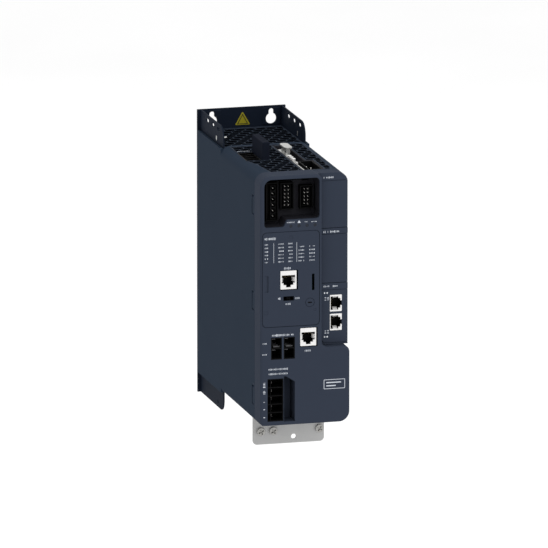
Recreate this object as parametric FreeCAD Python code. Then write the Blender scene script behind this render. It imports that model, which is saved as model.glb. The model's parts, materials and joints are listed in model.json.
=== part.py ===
"""Book-size servo drive for panel mounting, as an assembly of separate sub-parts.

Frame: millimetres, +Z up, +X to the right seen from the front. The origin is on the wall
plane, at the middle of the mounting plate's bottom edge. The front faces -Y. Depths ("d")
are distances forwards from the wall, so a point at depth d lies at Y = -d.
"""
import FreeCAD, Part
import math
import os

V = FreeCAD.Vector

# ---------------------------------------------------------------- driving dimensions
WIDTH = 85.0
HALF = WIDTH / 2
PLATE_HEIGHT = 270.0
PLATE_T = 2.0
WALL = 2.4
GAP = 0.35                    # clearance between pieces that come off or slide

REAR_END = 87.0               # depth where the rear section meets the front section
REAR_BOTTOM, REAR_TOP = 19.0, 250.7
BODY_BOTTOM, BODY_TOP = 20.0, 253.0
SEAM = 210.0                  # depth of the joint between the shells and the front cover
SEAM_GROOVE = 0.5             # width and depth of the shadow groove along the joint
FRONT = 232.5
COVER_BOTTOM, COVER_TOP = 19.8, 254.0
COVER_FACE_T = 3.0

SHOULDER_R = 9.5              # radius along the top edges of the front section
EAR_X = 39.5                  # outer face of each mounting flange
EAR_T = 1.2
EAR_REACH = 86.0
KEYHOLE_X, KEYHOLE_Z, KEYHOLE_R, KEYSLOT_R = 28.5, 258.0, 5.2, 2.5
EAR_SLOT_D, EAR_SLOT_Z = (58.6, 62.2), (252.6, 257.6)
FIXING_Z, FIXING_R = 7.0, 2.75

COLUMN_X = 16.2               # left side of the option column
COLUMN_FACE = 223.5
COLUMN_BOTTOM = 91.5
STRIPS = ((245.8, BODY_TOP), (195.6, 200.8), (143.2, 149.2))

DOOR_X, DOOR_Z = (-40.6, 13.2), (113.1, 201.8)
DOOR_T = 1.6
DOOR_HOLE_X, DOOR_HOLE_Z = (-36.0, 11.0), (119.0, 196.0)
LOCK_X, LOCK_Z, LOCK_R = 4.3, 134.4, 4.15
LOCK_PLAY, LOCK_CHAMFER = 0.05, 0.45
SWITCH_X, SWITCH_Z = -15.9, 139.2
SWITCH_WINDOW = (5.0, 2.1)    # half width and half height of the panel's window over the switch
DIMPLES = ((8.6, 127.2, 1.7), (-37.4, 126.4, 2.3), (-14.0, 196.3, 2.2))

TRAY_BACK = 211.5             # back wall of the terminal recess
HEADER_FACE = 218.0
BOARD_T = 1.6

MAINS_X, MAINS_D = (-35.2, -20.6), (119.6, 154.4)
FIN_X, FIN_D, FIN_TOP = (-20.4, -13.4), (118.0, 155.5), 269.5
TROUGH = (((4.2, 17.6), (98.0, 166.0)), ((4.2, 25.0), (166.0, 206.0)))

MOTOR_X, MOTOR_Z = (-36.0, -20.8), (24.2, 64.4)
DC_X, DC_Z = ((-32.7, -22.3), (-20.6, -10.0)), (82.4, 103.0)
HMI_X, HMI_Z = (-23.7, -8.4), (147.9, 165.3)
CAN_X, CAN_Z = (-4.9, 10.3), (93.6, 110.5)
COMM_JACK_X = (25.6, 37.0)
COMM_JACK_Z = ((104.6, 120.2), (122.4, 138.0))
LED_X, LED_Z, LED_R = (-13.8, -6.2, 1.4, 9.0), 207.0, 1.5

EMC_DEPTH, EMC_HALF, EMC_BOTTOM, EMC_T = 172.0, 34.0, -12.0, 1.5
EMC_SCREWS = ((-26.5, 0.4, 25), (-14.6, 0.4, 35), (29.4, 0.4, 55))

FAN_D, FAN_HALF, FAN_Z = 44.0, 30.0, (23.0, 38.0)

CELL_PITCH_X, CELL_PITCH_D, CELL_RIB = 10.0, 8.0, 0.9
SMALLEST_CELL = 12.0          # volume in mm3 below which a clipped cell is left closed


# ---------------------------------------------------------------- helpers
def block(x, d, z):
    """Box between pairs of widths, depths and heights."""
    corner = V(x[0], -d[1], z[0])
    return Part.makeBox(x[1] - x[0], d[1] - d[0], z[1] - z[0], corner)


def outline(corners, place):
    """Closed wire through (u, v, radius) corners, laid into space by place(u, v)."""
    count = len(corners)
    turns = []
    for i, (u, v, radius) in enumerate(corners):
        corner = V(u, v, 0)
        back = (V(*corners[i - 1][:2], 0) - corner).normalize()
        ahead = (V(*corners[(i + 1) % count][:2], 0) - corner).normalize()
        half = back.getAngle(ahead) / 2
        reach = radius / math.tan(half)
        middle = (back + ahead).normalize() * (radius / math.sin(half) - radius)
        turns.append((corner + back * reach, corner + middle, corner + ahead * reach, radius))
    edges = []
    for i, (start, middle, end, radius) in enumerate(turns):
        following = turns[(i + 1) % count][0]
        if radius > 0:
            edges.append(Part.Arc(*[place(p.x, p.y) for p in (start, middle, end)]).toShape())
        if end.distanceToPoint(following) > 1e-6:
            edges.append(Part.makeLine(place(end.x, end.y), place(following.x, following.y)))
    return Part.Wire(edges)


def front_prism(corners, d):
    """Prism of an (x, z, radius) outline between two depths."""
    wire = outline(corners, lambda x, z: V(x, -d[0], z))
    return Part.Face(wire).extrude(V(0, d[0] - d[1], 0))


def plan_prism(corners, z):
    """Prism of an (x, depth, radius) outline between two heights."""
    wire = outline(corners, lambda x, d: V(x, -d, z[0]))
    return Part.Face(wire).extrude(V(0, 0, z[1] - z[0]))


def side_prism(corners, x):
    """Prism of a (depth, z, radius) outline between two widths."""
    wire = outline(corners, lambda d, z: V(x[0], -d, z))
    return Part.Face(wire).extrude(V(x[1] - x[0], 0, 0))


def rounded(u, v, radii):
    """Corners of a rectangle; radii run low-low, high-low, high-high, low-high."""
    r = radii if isinstance(radii, tuple) else (radii,) * 4
    return [(u[0], v[0], r[0]), (u[1], v[0], r[1]), (u[1], v[1], r[2]), (u[0], v[1], r[3])]


def forward_rod(x, z, d, radius):
    """Round rod that runs forwards between two depths."""
    return Part.makeCylinder(radius, d[1] - d[0], V(x, -d[0], z), V(0, -1, 0))


def upright_rod(x, d, z, radius):
    """Round rod that stands between two heights."""
    return Part.makeCylinder(radius, z[1] - z[0], V(x, -d, z[0]), V(0, 0, 1))


def cross_rod(x, d, z, radius):
    """Round rod that runs across between two widths."""
    return Part.makeCylinder(radius, x[1] - x[0], V(x[0], -d, z), V(1, 0, 0))


def join(shapes):
    """One solid from shapes that touch or overlap."""
    return shapes[0].multiFuse(shapes[1:]).removeSplitter()


def group(shapes):
    """Separate solids kept in one node."""
    return Part.makeCompound(shapes)


def grow(pair, by):
    """Pair of limits moved apart by the same amount at both ends."""
    return pair[0] - by, pair[1] + by


def spread(first, last, count):
    """Evenly spaced values from first to last."""
    return [first + (last - first) * i / (count - 1) for i in range(count)]


def save(name, shape):
    """Write one sub-part."""
    shape.exportStep(f"parts/{name}.step")


# ---------------------------------------------------------------- chassis
def back_plate():
    """Flat steel plate with two keyholes, two lower fixing holes and pressed pads."""
    plate = block((-HALF, HALF), (0, PLATE_T), (0, PLATE_HEIGHT))
    pads = [block(sorted((side * 20.0, side * 37.2)), (PLATE_T, PLATE_T + 0.8), (252.5, 268.2))
            for side in (-1, 1)]
    holes = []
    for side in (-1, 1):
        x = side * KEYHOLE_X
        holes.append(forward_rod(x, KEYHOLE_Z, (-1, 4), KEYHOLE_R))
        holes.append(forward_rod(x, KEYHOLE_Z + 7.0, (-1, 4), KEYSLOT_R))
        holes.append(block((x - KEYSLOT_R, x + KEYSLOT_R), (-1, 4), (KEYHOLE_Z, KEYHOLE_Z + 7.0)))
        holes.append(forward_rod(x, FIXING_Z, (-1, 4), FIXING_R))
    return join([plate] + pads).cut(holes)


def flange(side):
    """Side flange with its upper and lower ears; the upper ear has a row of slots."""
    x = sorted((side * (EAR_X - EAR_T), side * EAR_X))
    sheet = side_prism([(PLATE_T, 0, 0), (EAR_REACH, 0, 10), (EAR_REACH, PLATE_HEIGHT, 12),
                        (PLATE_T, PLATE_HEIGHT, 0)], x)
    through = grow(x, 1)
    holes = [side_prism(rounded((d - 4.4, d + 4.4), (263.0, 266.6), 1.7), through) for d in (28, 48, 68)]
    holes.append(side_prism(rounded(EAR_SLOT_D, EAR_SLOT_Z, 1.75), through))
    holes.append(cross_rod(through, 65.7, 5.1, 1.8))
    return sheet.cut(holes)


def ear_pins():
    """Earth tabs pressed into the upper ears' slots; the left one has a pin inwards."""
    tabs = [side_prism(rounded(EAR_SLOT_D, EAR_SLOT_Z, 1.75),
                       sorted((side * (EAR_X - EAR_T), side * (EAR_X - 0.1)))) for side in (-1, 1)]
    pin = cross_rod((EAR_T - EAR_X, 10.0 - EAR_X), sum(EAR_SLOT_D) / 2, sum(EAR_SLOT_Z) / 2, 0.8)
    return group([join([tabs[0], pin]), tabs[1]])


def heatsink():
    """Extruded aluminium heatsink: base plate and upright fins in the air channel."""
    z = (42.0, 238.0)
    base = block((-36, 36), (60, 66), z)
    fins = [block((x - 0.8, x + 0.8), (8, 60), z) for x in spread(-35.2, 35.2, 15)]
    return join([base] + fins)


def power_module():
    """Transistor module bolted to the heatsink base."""
    body = block((-31, 31), (66, 77), (80, 190))
    lugs = [block((-6, 6), (66, 70), z) for z in ((72, 80), (190, 198))]
    holes = [forward_rod(0, z, (60, 80), 2.2) for z in (76, 194)]
    return join([body] + lugs).cut(holes)


def fan_frame():
    """Square fan housing with a round duct and a hub carried on four struts."""
    frame = block((-FAN_HALF, FAN_HALF), (FAN_D - FAN_HALF, FAN_D + FAN_HALF), FAN_Z)
    low = FAN_Z[0]
    duct = upright_rod(0, FAN_D, (low - 1, FAN_Z[1] + 1), 28.6)
    corners = [upright_rod(x, FAN_D + d, (low - 1, FAN_Z[1] + 1), 2.2)
               for x in (-25, 25) for d in (-25, 25)]
    shell = frame.cut([duct] + corners)
    hub = upright_rod(0, FAN_D, (low, low + 2.0), 12.0)
    stub = upright_rod(0, FAN_D, (low + 2.0, FAN_Z[1] - 2.5), 1.95)
    struts = [block((-1.5, 1.5), (FAN_D - 29.5, FAN_D + 29.5), (low, low + 2.0)),
              block((-29.5, 29.5), (FAN_D - 1.5, FAN_D + 1.5), (low, low + 2.0))]
    return join([shell, hub, stub] + struts)


def fan_rotor():
    """Hub cup with seven pitched blades, running on the frame's stub."""
    low = FAN_Z[0] + 2.6
    top = FAN_Z[1] - 1.0
    cup = upright_rod(0, FAN_D, (low, top), 12.5)
    axis = V(0, -FAN_D, 0)
    blades = []
    for i in range(7):
        blade = block((11.5, 27.6), (FAN_D - 0.6, FAN_D + 0.6), (low + 0.5, top - 0.5))
        blade.rotate(V(0, -FAN_D, (low + top) / 2), V(1, 0, 0), 38)
        blade.rotate(axis, V(0, 0, 1), 360.0 * i / 7)
        blades.append(blade)
    limit = upright_rod(0, FAN_D, (low, top), 27.8)
    bore = upright_rod(0, FAN_D, (low - 1, FAN_Z[1] - 2.2), 2.0)
    return join([cup] + blades).common(limit).cut(bore)


# ---------------------------------------------------------------- housing
def grille_window(clearance=0.0):
    """Plan outline of the opening that the top grille fills."""
    c = clearance
    return [(-35.3 + c, 92 + c, 0), (-35.3 + c, 156, 0), (-31 + c, 172, 0), (-27 + c, 207 - c, 0),
            (33 - c, 207 - c, 0), (34 - c, 92 + c, 0)]


def body_ring():
    """Closed tube of the front section, before it is split into two shells."""
    d = (REAR_END, SEAM)
    outer = front_prism(rounded((-HALF, HALF), (BODY_BOTTOM, BODY_TOP),
                                (4, 4, SHOULDER_R, SHOULDER_R)), d)
    inner_r = SHOULDER_R - WALL
    inner = front_prism(rounded(grow((-HALF, HALF), -WALL), grow((BODY_BOTTOM, BODY_TOP), -WALL),
                                (1.6, 1.6, inner_r, inner_r)), grow(d, 1))
    window = plan_prism(grille_window(), (BODY_TOP - 5, BODY_TOP + 5))
    bottom = block((-34, 34), (95, 200), (BODY_BOTTOM - 5, BODY_BOTTOM + 5))
    mains = block(grow(MAINS_X, 0.1), grow(MAINS_D, 0.1), (BODY_TOP - 5, BODY_TOP + 5))
    return outer.cut([inner, window, bottom, mains])


def housing_shell(side):
    """Side shell: its half of the front section, the rear wall and the latch windows."""
    half = block(sorted((0, side * 50)), (0, 240), (0, 300))
    x = sorted((side * (HALF - WALL), side * HALF))
    rear = block(x, (PLATE_T, REAR_END + 1), (REAR_BOTTOM, REAR_TOP))
    shell = join([body_ring().common(half), rear])
    latches = []
    for z in (35, 124, 214):
        latches.append(block(grow(x, 1), (200.8, 203.2), (z, z + 18)))
        latches += [block(grow(x, 1), (203.2, 207.6), span) for span in ((z, z + 1.2), (z + 16.8, z + 18))]
    return shell.cut(latches)


def hex_cell(x, d, z):
    """Upright six-sided cutter, with corners towards front and back."""
    size = (CELL_PITCH_X - CELL_RIB) / math.sqrt(3)
    stretch = CELL_PITCH_D / (CELL_PITCH_X * math.sqrt(0.75))
    turns = [math.radians(30 + 60 * k) for k in range(6)]
    points = [(x + size * math.cos(t), d + size * stretch * math.sin(t), 0) for t in turns]
    return plan_prism(points, z)


def comb(plate, field, x_range, d_range, z):
    """Plate pierced by staggered six-sided cells, each clipped to the field that is open."""
    pieces = []
    rows = int((d_range[1] - d_range[0]) / CELL_PITCH_D) + 1
    for row in range(rows):
        d = d_range[0] + row * CELL_PITCH_D
        x = x_range[0] + (CELL_PITCH_X / 2 if row % 2 else 0)
        while x <= x_range[1]:
            clipped = hex_cell(x, d, grow(z, 1)).common(field)
            pieces += [piece for piece in clipped.Solids if piece.Volume > SMALLEST_CELL]
            x += CELL_PITCH_X
    return plate.cut(pieces)


def top_cutouts(margin, z):
    """Places in the top grille for the mains socket, the fin and the clamp trough."""
    return [block(grow(MAINS_X, margin), grow(MAINS_D, margin), z),
            block(grow(FIN_X, margin), grow(FIN_D, margin), z)] + [
                block(grow(x, margin), grow(d, margin), z) for x, d in TROUGH]


def top_grille():
    """Honeycomb plate over the front section, cut out for mains, fin and clamp trough."""
    z = (BODY_TOP - WALL, BODY_TOP)
    plate = plan_prism(grille_window(), z).cut(top_cutouts(0.1, grow(z, 1)))
    field = plan_prism(grille_window(1.2), grow(z, 1)).cut(top_cutouts(1.3, grow(z, 2)))
    return comb(plate, field, (-34.0, 36.0), (92.0, 208.0), z)


def rear_grille():
    """Honeycomb plate between the ears, over the heatsink channel."""
    z = (REAR_TOP - WALL, REAR_TOP)
    inner = EAR_X - EAR_T - 0.2
    plate = block((-inner, inner), (PLATE_T, REAR_END), z)
    field = block((1.2 - inner, inner - 1.2), (6.0, REAR_END - 5.0), grow(z, 1))
    return comb(plate, field, (-39.0, 40.0), (4.0, 86.0), z)


def slotted(plate, x_range, d_range, z, pitch):
    """Plate with long ventilation slots that run front to back."""
    count = int((x_range[1] - x_range[0]) / pitch) + 1
    slots = [plan_prism(rounded((x - 1.6, x + 1.6), d_range, 1.5), grow(z, 1))
             for x in spread(x_range[0], x_range[1], count)]
    return plate.cut(slots)


def bottom_grille():
    """Slotted plate under the front section, with holes for the shield plate's screws."""
    z = (BODY_BOTTOM, BODY_BOTTOM + WALL)
    plate = block((-34, 34), (95, 200), z)
    holes = [upright_rod(x, 115, grow(z, 1), 1.7) for x in (-20, 20)]
    return slotted(plate, (-29, 29), (128, 194), z, 5.8).cut(holes)


def fan_guard():
    """Slotted plate under the fan, between the flanges."""
    z = (REAR_BOTTOM, REAR_BOTTOM + WALL)
    inner = EAR_X - EAR_T - 0.2
    plate = block((-inner, inner), (PLATE_T, REAR_END), z)
    return slotted(plate, (-27, 27), (16, 72), z, 5.4)


def insulating_fin():
    """Upright divider between the mains terminals and the shield clamps."""
    return plan_prism(rounded(FIN_X, FIN_D, 0.6), (BODY_TOP - 12, FIN_TOP))


# ---------------------------------------------------------------- front cover
def cover_outline(inset=0.0):
    """Front outline of the cover; the option column is left out of its right side."""
    i = inset
    return [(-HALF + i, COVER_BOTTOM + i, max(4 - i, 1)),
            (HALF - i, COVER_BOTTOM + i, 10 - i),
            (HALF - i, COLUMN_BOTTOM - i, 6 - i),
            (COLUMN_X - min(i, 1.5), COLUMN_BOTTOM - i, 5 + i),
            (COLUMN_X - min(i, 1.5), COVER_TOP - i, max(6 - i, 1)),
            (-HALF + i, COVER_TOP - i, 10.5 - i)]


def well_outline(inset=0.0):
    """Outline of the terminal recess, with its lobe at the lower left."""
    i = inset
    return [(-39.0 - i, 206.4 - i, 3 + i), (-20.6 + i, 206.4 - i, 3 + i),
            (-17.6 + i, 213.0 - i, 2), (13.6 + i, 213.0 - i, 3.5 + i),
            (13.6 + i, 251.2 + min(i, 0.5), 4 + i), (-39.0 - i, 251.2 + min(i, 0.5), 7.0 + i)]


def pocket_outline(inset=0.0):
    """Outline of the finger pocket beside the motor socket."""
    i = inset
    return [(-20.4, 23.4 - i, 0), (-9.9 + i, 23.4 - i, 0), (-9.9 + i, 60.8 + i, 0),
            (-18.5, 66.2 + i, 0), (-20.4, 66.2 + i, 0)]


def front_cover():
    """Moulded front cover with every opening of the main face."""
    face = (FRONT - COVER_FACE_T, FRONT)
    through = grow(face, 1)
    outer = front_prism(cover_outline(), (SEAM, FRONT))
    rim = [e for e in outer.Edges if e.BoundBox.YMax < -FRONT + 0.01]
    corner = block((COLUMN_X - 7.0, COLUMN_X), (SEAM, COLUMN_FACE), (BODY_TOP - 7.0, BODY_TOP))
    outer = join([outer.makeFillet(3.0, rim), corner])
    groove_d = (SEAM, SEAM + SEAM_GROOVE)
    groove = front_prism(cover_outline(-1.0), groove_d).cut(
        front_prism(cover_outline(SEAM_GROOVE), groove_d))
    inner = front_prism(cover_outline(WALL), (SEAM - 1, face[0]))
    openings = [front_prism(well_outline(), through),
                block(DOOR_HOLE_X, through, DOOR_HOLE_Z),
                front_prism(rounded(grow(DOOR_X, GAP), grow(DOOR_Z, GAP), 4.2),
                            (FRONT - DOOR_T - GAP, FRONT + 1)),
                block((CAN_X[0] - 0.4, CAN_X[1] + 1.3), through, (CAN_Z[0] - 0.7, CAN_Z[1] + 0.4)),
                block(MOTOR_X, through, MOTOR_Z),
                front_prism(pocket_outline(), through)]
    openings += [block(x, through, DC_Z) for x in DC_X]
    openings += [forward_rod(x, LED_Z, through, LED_R) for x in LED_X]
    pocket = front_prism(pocket_outline(1.2), (213.0, face[0])).cut(
        front_prism(pocket_outline(), (214.2, FRONT)))
    latches = [block((-20.4, -17.8), (224, FRONT + 1), (z - 1.6, z + 1.6)) for z in (55.4, 33.1)]
    return join([outer.cut([groove, inner] + openings), pocket]).cut(latches)


def terminal_tray():
    """Five-sided insulating tray that forms the terminal recess behind its opening."""
    d = (TRAY_BACK - 1.2, FRONT - COVER_FACE_T)
    shell = front_prism(well_outline(1.0), d).cut(
        front_prism(well_outline(), (TRAY_BACK, FRONT)))
    slot = block((1.4, 8.6), (TRAY_BACK - 2, TRAY_BACK + 1), (244.6, 247.2))
    return shell.common(front_prism(cover_outline(WALL), d)).cut(slot)


def status_lights():
    """Four clear light pipes from the control board to the cover."""
    return group([forward_rod(x, LED_Z, (212, FRONT - 0.2), LED_R) for x in LED_X])


def panel_door():
    """Removable panel over the control compartment, with a boss for its lock."""
    d = (FRONT - DOOR_T, FRONT)
    through = grow(d, 3)
    panel = front_prism(rounded(DOOR_X, DOOR_Z, 4.0), d)
    rim = [e for e in panel.Edges if e.BoundBox.YMax < -FRONT + 0.01]
    panel = panel.makeFillet(0.5, rim)
    boss = forward_rod(LOCK_X, LOCK_Z, (228.6, d[0] + 0.2), 5.8)
    grips = [block((x0 - 0.2, x1), (226.4, d[0] + 0.2), (144.6, 162.2))
             for x0, x1 in ((-36.0 + GAP + 0.2, -34.6), (5.2, 6.2))]
    openings = [block((HMI_X[0] - 0.4, HMI_X[1] + 1.4), through, (HMI_Z[0] - 0.8, HMI_Z[1] + 0.4)),
                block(grow((SWITCH_X,) * 2, SWITCH_WINDOW[0]), through,
                      grow((SWITCH_Z,) * 2, SWITCH_WINDOW[1])),
                forward_rod(LOCK_X, LOCK_Z, grow(d, 5), LOCK_R + LOCK_PLAY),
                Part.makeCone(LOCK_R + LOCK_PLAY, LOCK_R + LOCK_PLAY + LOCK_CHAMFER, LOCK_CHAMFER,
                              V(LOCK_X, LOCK_CHAMFER - FRONT, LOCK_Z), V(0, -1, 0)),
                block((6.2, 8.6), through, (145.8, 161.2)),
                plan_prism([(-39.6, FRONT, 0), (-35.2, FRONT - 1.2, 0), (-35.2, FRONT + 1, 0),
                            (-39.6, FRONT + 1, 0)], (145.8, 161.2))]
    openings += [forward_rod(x, z, (FRONT - 0.4, FRONT + 1), r) for x, z, r in DIMPLES]
    return join([panel, boss] + grips).cut(openings)


def quarter_turn_lock():
    """Slotted lock of the panel, with its cam behind the panel."""
    shoulder = FRONT - 0.1 - LOCK_CHAMFER
    bevel = Part.makeCone(LOCK_R, LOCK_R - LOCK_CHAMFER, LOCK_CHAMFER,
                          V(LOCK_X, -shoulder, LOCK_Z), V(0, -1, 0))
    head = join([forward_rod(LOCK_X, LOCK_Z, (228.2, shoulder), LOCK_R), bevel])
    cam = front_prism(rounded((LOCK_X - 1.8, LOCK_X + 1.8), (LOCK_Z - 4.6, LOCK_Z + 4.6), 1.5),
                      (226.6, 228.2))
    slot = block(grow((LOCK_X,) * 2, 1.9), (FRONT - 1.6, FRONT + 1), grow((LOCK_Z,) * 2, 0.65))
    return join([head, cam]).cut(slot)


def selector_body():
    """Three-position slide switch on the interface board."""
    body = block((SWITCH_X - 7, SWITCH_X + 7), (211.0, 229.0), (SWITCH_Z - 3.5, SWITCH_Z + 3.5))
    slot = block((SWITCH_X - 4.6, SWITCH_X + 4.6), (222.0, 230.0), (SWITCH_Z - 1.7, SWITCH_Z + 1.7))
    return body.cut(slot)


def selector_slider():
    """Actuator of the slide switch."""
    stem = block((SWITCH_X - 1.7, SWITCH_X + 1.7), (222.6, 231.4), (SWITCH_Z - 1.3, SWITCH_Z + 1.3))
    grooves = [block((SWITCH_X + k - 0.2, SWITCH_X + k + 0.2), (231.0, 232), grow((SWITCH_Z,) * 2, 1.5))
               for k in (-0.9, 0, 0.9)]
    return stem.cut(grooves)


# ---------------------------------------------------------------- option column
def option_bezel():
    """Frame of the option column: side walls and the strips between the slots."""
    left = COLUMN_X + 0.2
    bottom = COLUMN_BOTTOM + 0.2
    outer = front_prism(rounded((left, HALF), (bottom, BODY_TOP), (5.2, 0.3, SHOULDER_R, 0.5)),
                        (SEAM, COLUMN_FACE))
    inner = front_prism(rounded((left + 1.2, HALF - 1.5), (bottom + 1.3, BODY_TOP - WALL),
                                (4.0, 0.5, 6.5, 0.5)), (SEAM - 1, COLUMN_FACE - WALL))
    tops = [STRIPS[0][0], STRIPS[1][0], STRIPS[2][0]]
    floors = [STRIPS[1][1], STRIPS[2][1]]
    windows = [block((left + 1.2, HALF + 1), (COLUMN_FACE - 2.6, COLUMN_FACE + 1), (low, high))
               for low, high in zip(floors, tops)]
    windows.append(front_prism([(left + 1.2, bottom + 1.3, 4.0), (HALF + 1, bottom + 1.3, 0),
                                (HALF + 1, tops[2], 0), (left + 1.2, tops[2], 0)],
                               (COLUMN_FACE - 2.6, COLUMN_FACE + 1)))
    return outer.cut(inner).cut(windows)


def blank_cover(slot):
    """Clip-in blanking cover of one option slot, with two clip legs."""
    low, high = STRIPS[slot + 1][1] + GAP, STRIPS[slot][0] - GAP
    x = (COLUMN_X + 1.4 + GAP, HALF)
    plate = front_prism(rounded(x, (low, high), (0.6, 0.3, 0.3, 0.6)),
                        (COLUMN_FACE - 2.2, COLUMN_FACE - 0.3))
    legs = [block((21, 38), (212, COLUMN_FACE - 2.2), span)
            for span in ((low + 1, low + 2.2), (high - 2.2, high - 1))]
    hooks = [block((26, 33), (212, 213.5), span)
             for span in ((low + 2.2, low + 3.0), (high - 3.0, high - 2.2))]
    return join([plate] + legs + hooks)


def comm_case():
    """Case of the communication module, open at the back for its board."""
    bottom = COLUMN_BOTTOM + 1.5 + GAP
    top = STRIPS[2][0] - GAP
    left = COLUMN_X + 1.4 + GAP
    plate = front_prism(rounded((left, HALF), (bottom, top), (3.8, 0.3, 0.3, 0.6)),
                        (COLUMN_FACE - 2.2, COLUMN_FACE - 0.2))
    outer = front_prism(rounded((left + 0.4, 39.4), (bottom + 0.4, top - 0.4), (3.4, 1, 1, 1)),
                        (192, COLUMN_FACE - 2.2))
    inner = front_prism(rounded((left + 1.6, 38.2), (bottom + 1.6, top - 1.6), (2.4, 0.5, 0.5, 0.5)),
                        (191, COLUMN_FACE - 2.2))
    windows = [block(COMM_JACK_X, (COLUMN_FACE - 3, COLUMN_FACE + 1), z) for z in COMM_JACK_Z]
    lights = [forward_rod(x, z, (COLUMN_FACE - 3, COLUMN_FACE + 1), 0.7)
              for x in (20.6, 23.1) for z in (98.9, 140.2)]
    return join([plate, outer.cut(inner)]).cut(windows + lights)


def comm_lights():
    """Light pipes of the communication module."""
    return group([forward_rod(x, z, (212, COLUMN_FACE - 0.1), 0.7)
                  for x in (20.6, 23.1) for z in (98.9, 140.2)])


def comm_board():
    """Circuit board of the communication module."""
    return block((21, 37.6), (193, 206), (118.6, 118.6 + BOARD_T))


def jack(x, d, z, turned=False):
    """Shielded modular jack; its latch notch points down, or right when it is turned."""
    shell = front_prism(rounded(x, z, 0.5), d)
    mid_x, mid_z = (x[0] + x[1]) / 2, (z[0] + z[1]) / 2
    steps = ((6.3, -2.8, 4.4), (4.6, -4.8, -2.8), (2.2, -6.9, -4.8))
    shift = 0.5
    cavity = []
    for half, low, high in steps:
        if turned:
            span_x = mid_x - high - shift, mid_x - low - shift
            span_z = mid_z - half, mid_z + half
        else:
            span_x, span_z = (mid_x - half, mid_x + half), (mid_z + low, mid_z + high)
        cavity.append(block(span_x, (d[1] - 12.5, d[1] + 1), span_z))
    return shell.cut(join(cavity))


# ---------------------------------------------------------------- connectors
def open_header(x, d, z, wall, floor):
    """Pin header body: a box whose mouth faces forwards."""
    return block(x, d, z).cut(block(grow(x, -wall), (d[0] + floor, d[1] + 1), grow(z, -wall)))


def header_pins():
    """Contact pins of the three terminal headers."""
    columns = [((-26.9,), spread(240.0, 213.8, 6)),
               ((-15.4, -12.0), spread(241.0, 223.4, 6)),
               ((3.2, 6.4), spread(237.6, 223.8, 5))]
    return group([block((x - 0.4, x + 0.4), (TRAY_BACK + 1.0, HEADER_FACE - 1.0), (z - 0.4, z + 0.4))
                  for xs, zs in columns for x in xs for z in zs])


def dc_socket(x):
    """Two-chamber socket of the DC link."""
    body = block(x, (205, FRONT - 0.2), DC_Z)
    middle = sum(DC_Z) / 2
    chambers = [block(grow(x, -0.9), (214, FRONT), span)
                for span in ((DC_Z[0] + 0.9, middle - 0.5), (middle + 0.5, DC_Z[1] - 0.9))]
    return body.cut(chambers)


def dc_contacts():
    """Flat contacts of both DC link sockets."""
    middle = sum(DC_Z) / 2
    bars = []
    for low, high in DC_X:
        centre = (low + high) / 2
        bars.append(block((centre - 2.2, centre + 4.0), (214, 229), (middle + 0.6, middle + 1.6)))
    return group(bars)


def motor_header():
    """Five-way motor and brake-resistor socket."""
    body = block(MOTOR_X, (205, FRONT - 0.2), MOTOR_Z)
    pitch = (MOTOR_Z[1] - MOTOR_Z[0] - 1.0) / 5
    chambers = []
    for i in range(5):
        low = MOTOR_Z[0] + 1.0 + i * pitch
        chambers.append(block((-32.9, -21.8), (214, FRONT), (low, low + pitch - 0.9)))
        chambers.append(block((-35.4, -33.5), (226, FRONT), (low, low + pitch - 0.9)))
    return body.cut(chambers)


def motor_blades():
    """Blade contacts of the motor socket."""
    pitch = (MOTOR_Z[1] - MOTOR_Z[0] - 1.0) / 5
    centres = [MOTOR_Z[0] + 0.55 + pitch * (i + 0.5) for i in range(5)]
    return group([block((-31.1, -30.5), (214, 228), (z - 1.4, z + 1.4)) for z in centres])


def mains_header():
    """Four-way mains socket whose mouth faces up."""
    z = (226, BODY_TOP - 0.2)
    pitch = (MAINS_D[1] - MAINS_D[0] - 1.0) / 4
    chambers = [block(grow(MAINS_X, -1.0), (low, low + pitch - 1.0), (z[0] + 6, z[1] + 1))
                for low in (MAINS_D[0] + 1.0 + i * pitch for i in range(4))]
    return block(MAINS_X, MAINS_D, z).cut(chambers)


def mains_blades():
    """Blade contacts of the mains socket."""
    pitch = (MAINS_D[1] - MAINS_D[0] - 1.0) / 4
    centre = sum(MAINS_X) / 2
    centres = [MAINS_D[0] + 0.5 + pitch * (i + 0.5) for i in range(4)]
    return group([block((centre - 2, centre + 2), (d - 0.4, d + 0.4), (232, 246)) for d in centres])


def trough_outline(inset=0.0):
    """Plan outline of the clamp trough, wider round the signal socket."""
    (left, right), (back, step) = TROUGH[0]
    (_, wide), (_, front) = TROUGH[1]
    i = inset
    return [(left + i, back + i, 0.5), (right - i, back + i, 0.5), (right - i, step + i, 0.5),
            (wide - i, step + i, 0.5), (wide - i, front - i, 0.5), (left + i, front - i, 0.5)]


def clamp_trough():
    """Open-topped insulating trough that carries the shield rail and the front socket."""
    z = (238.0, BODY_TOP - 0.1)
    return plan_prism(trough_outline(), z).cut(
        plan_prism(trough_outline(1.1), (z[0] + 1.5, z[1] + 1)))


def shield_rail():
    """Folded shield rail along the trough, with its raised clamp saddle."""
    low = 239.5
    left = TROUGH[0][0][0] + 1.2
    upright = block((left, left + 1.2), (108, 200), (low, 251.6))
    flange_top = block((left, 10.2), (108, 163), (250.4, 251.6))
    lip = block((left, 8.0), (163, 200), (250.4, 251.6))
    saddle = plan_prism(rounded((left + 0.4, left + 8.2), (116, 136), 3.0), (257.6, 259.2))
    legs = [block((left + 2.2, left + 6.2), span, (251.6, 257.6))
            for span in ((117.6, 119.0), (133.0, 134.4))]
    return join([upright, flange_top, lip, saddle] + legs)


def shield_screws():
    """Cheese-head screws on the shield rail."""
    heads = []
    for d in (146, 152.5, 159.5, 176):
        x = 8.0 if d < 163 else 6.9
        heads.append(upright_rod(x, d, (251.6, 254.0), 1.9 if d < 163 else 1.0))
    return group(heads)


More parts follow.
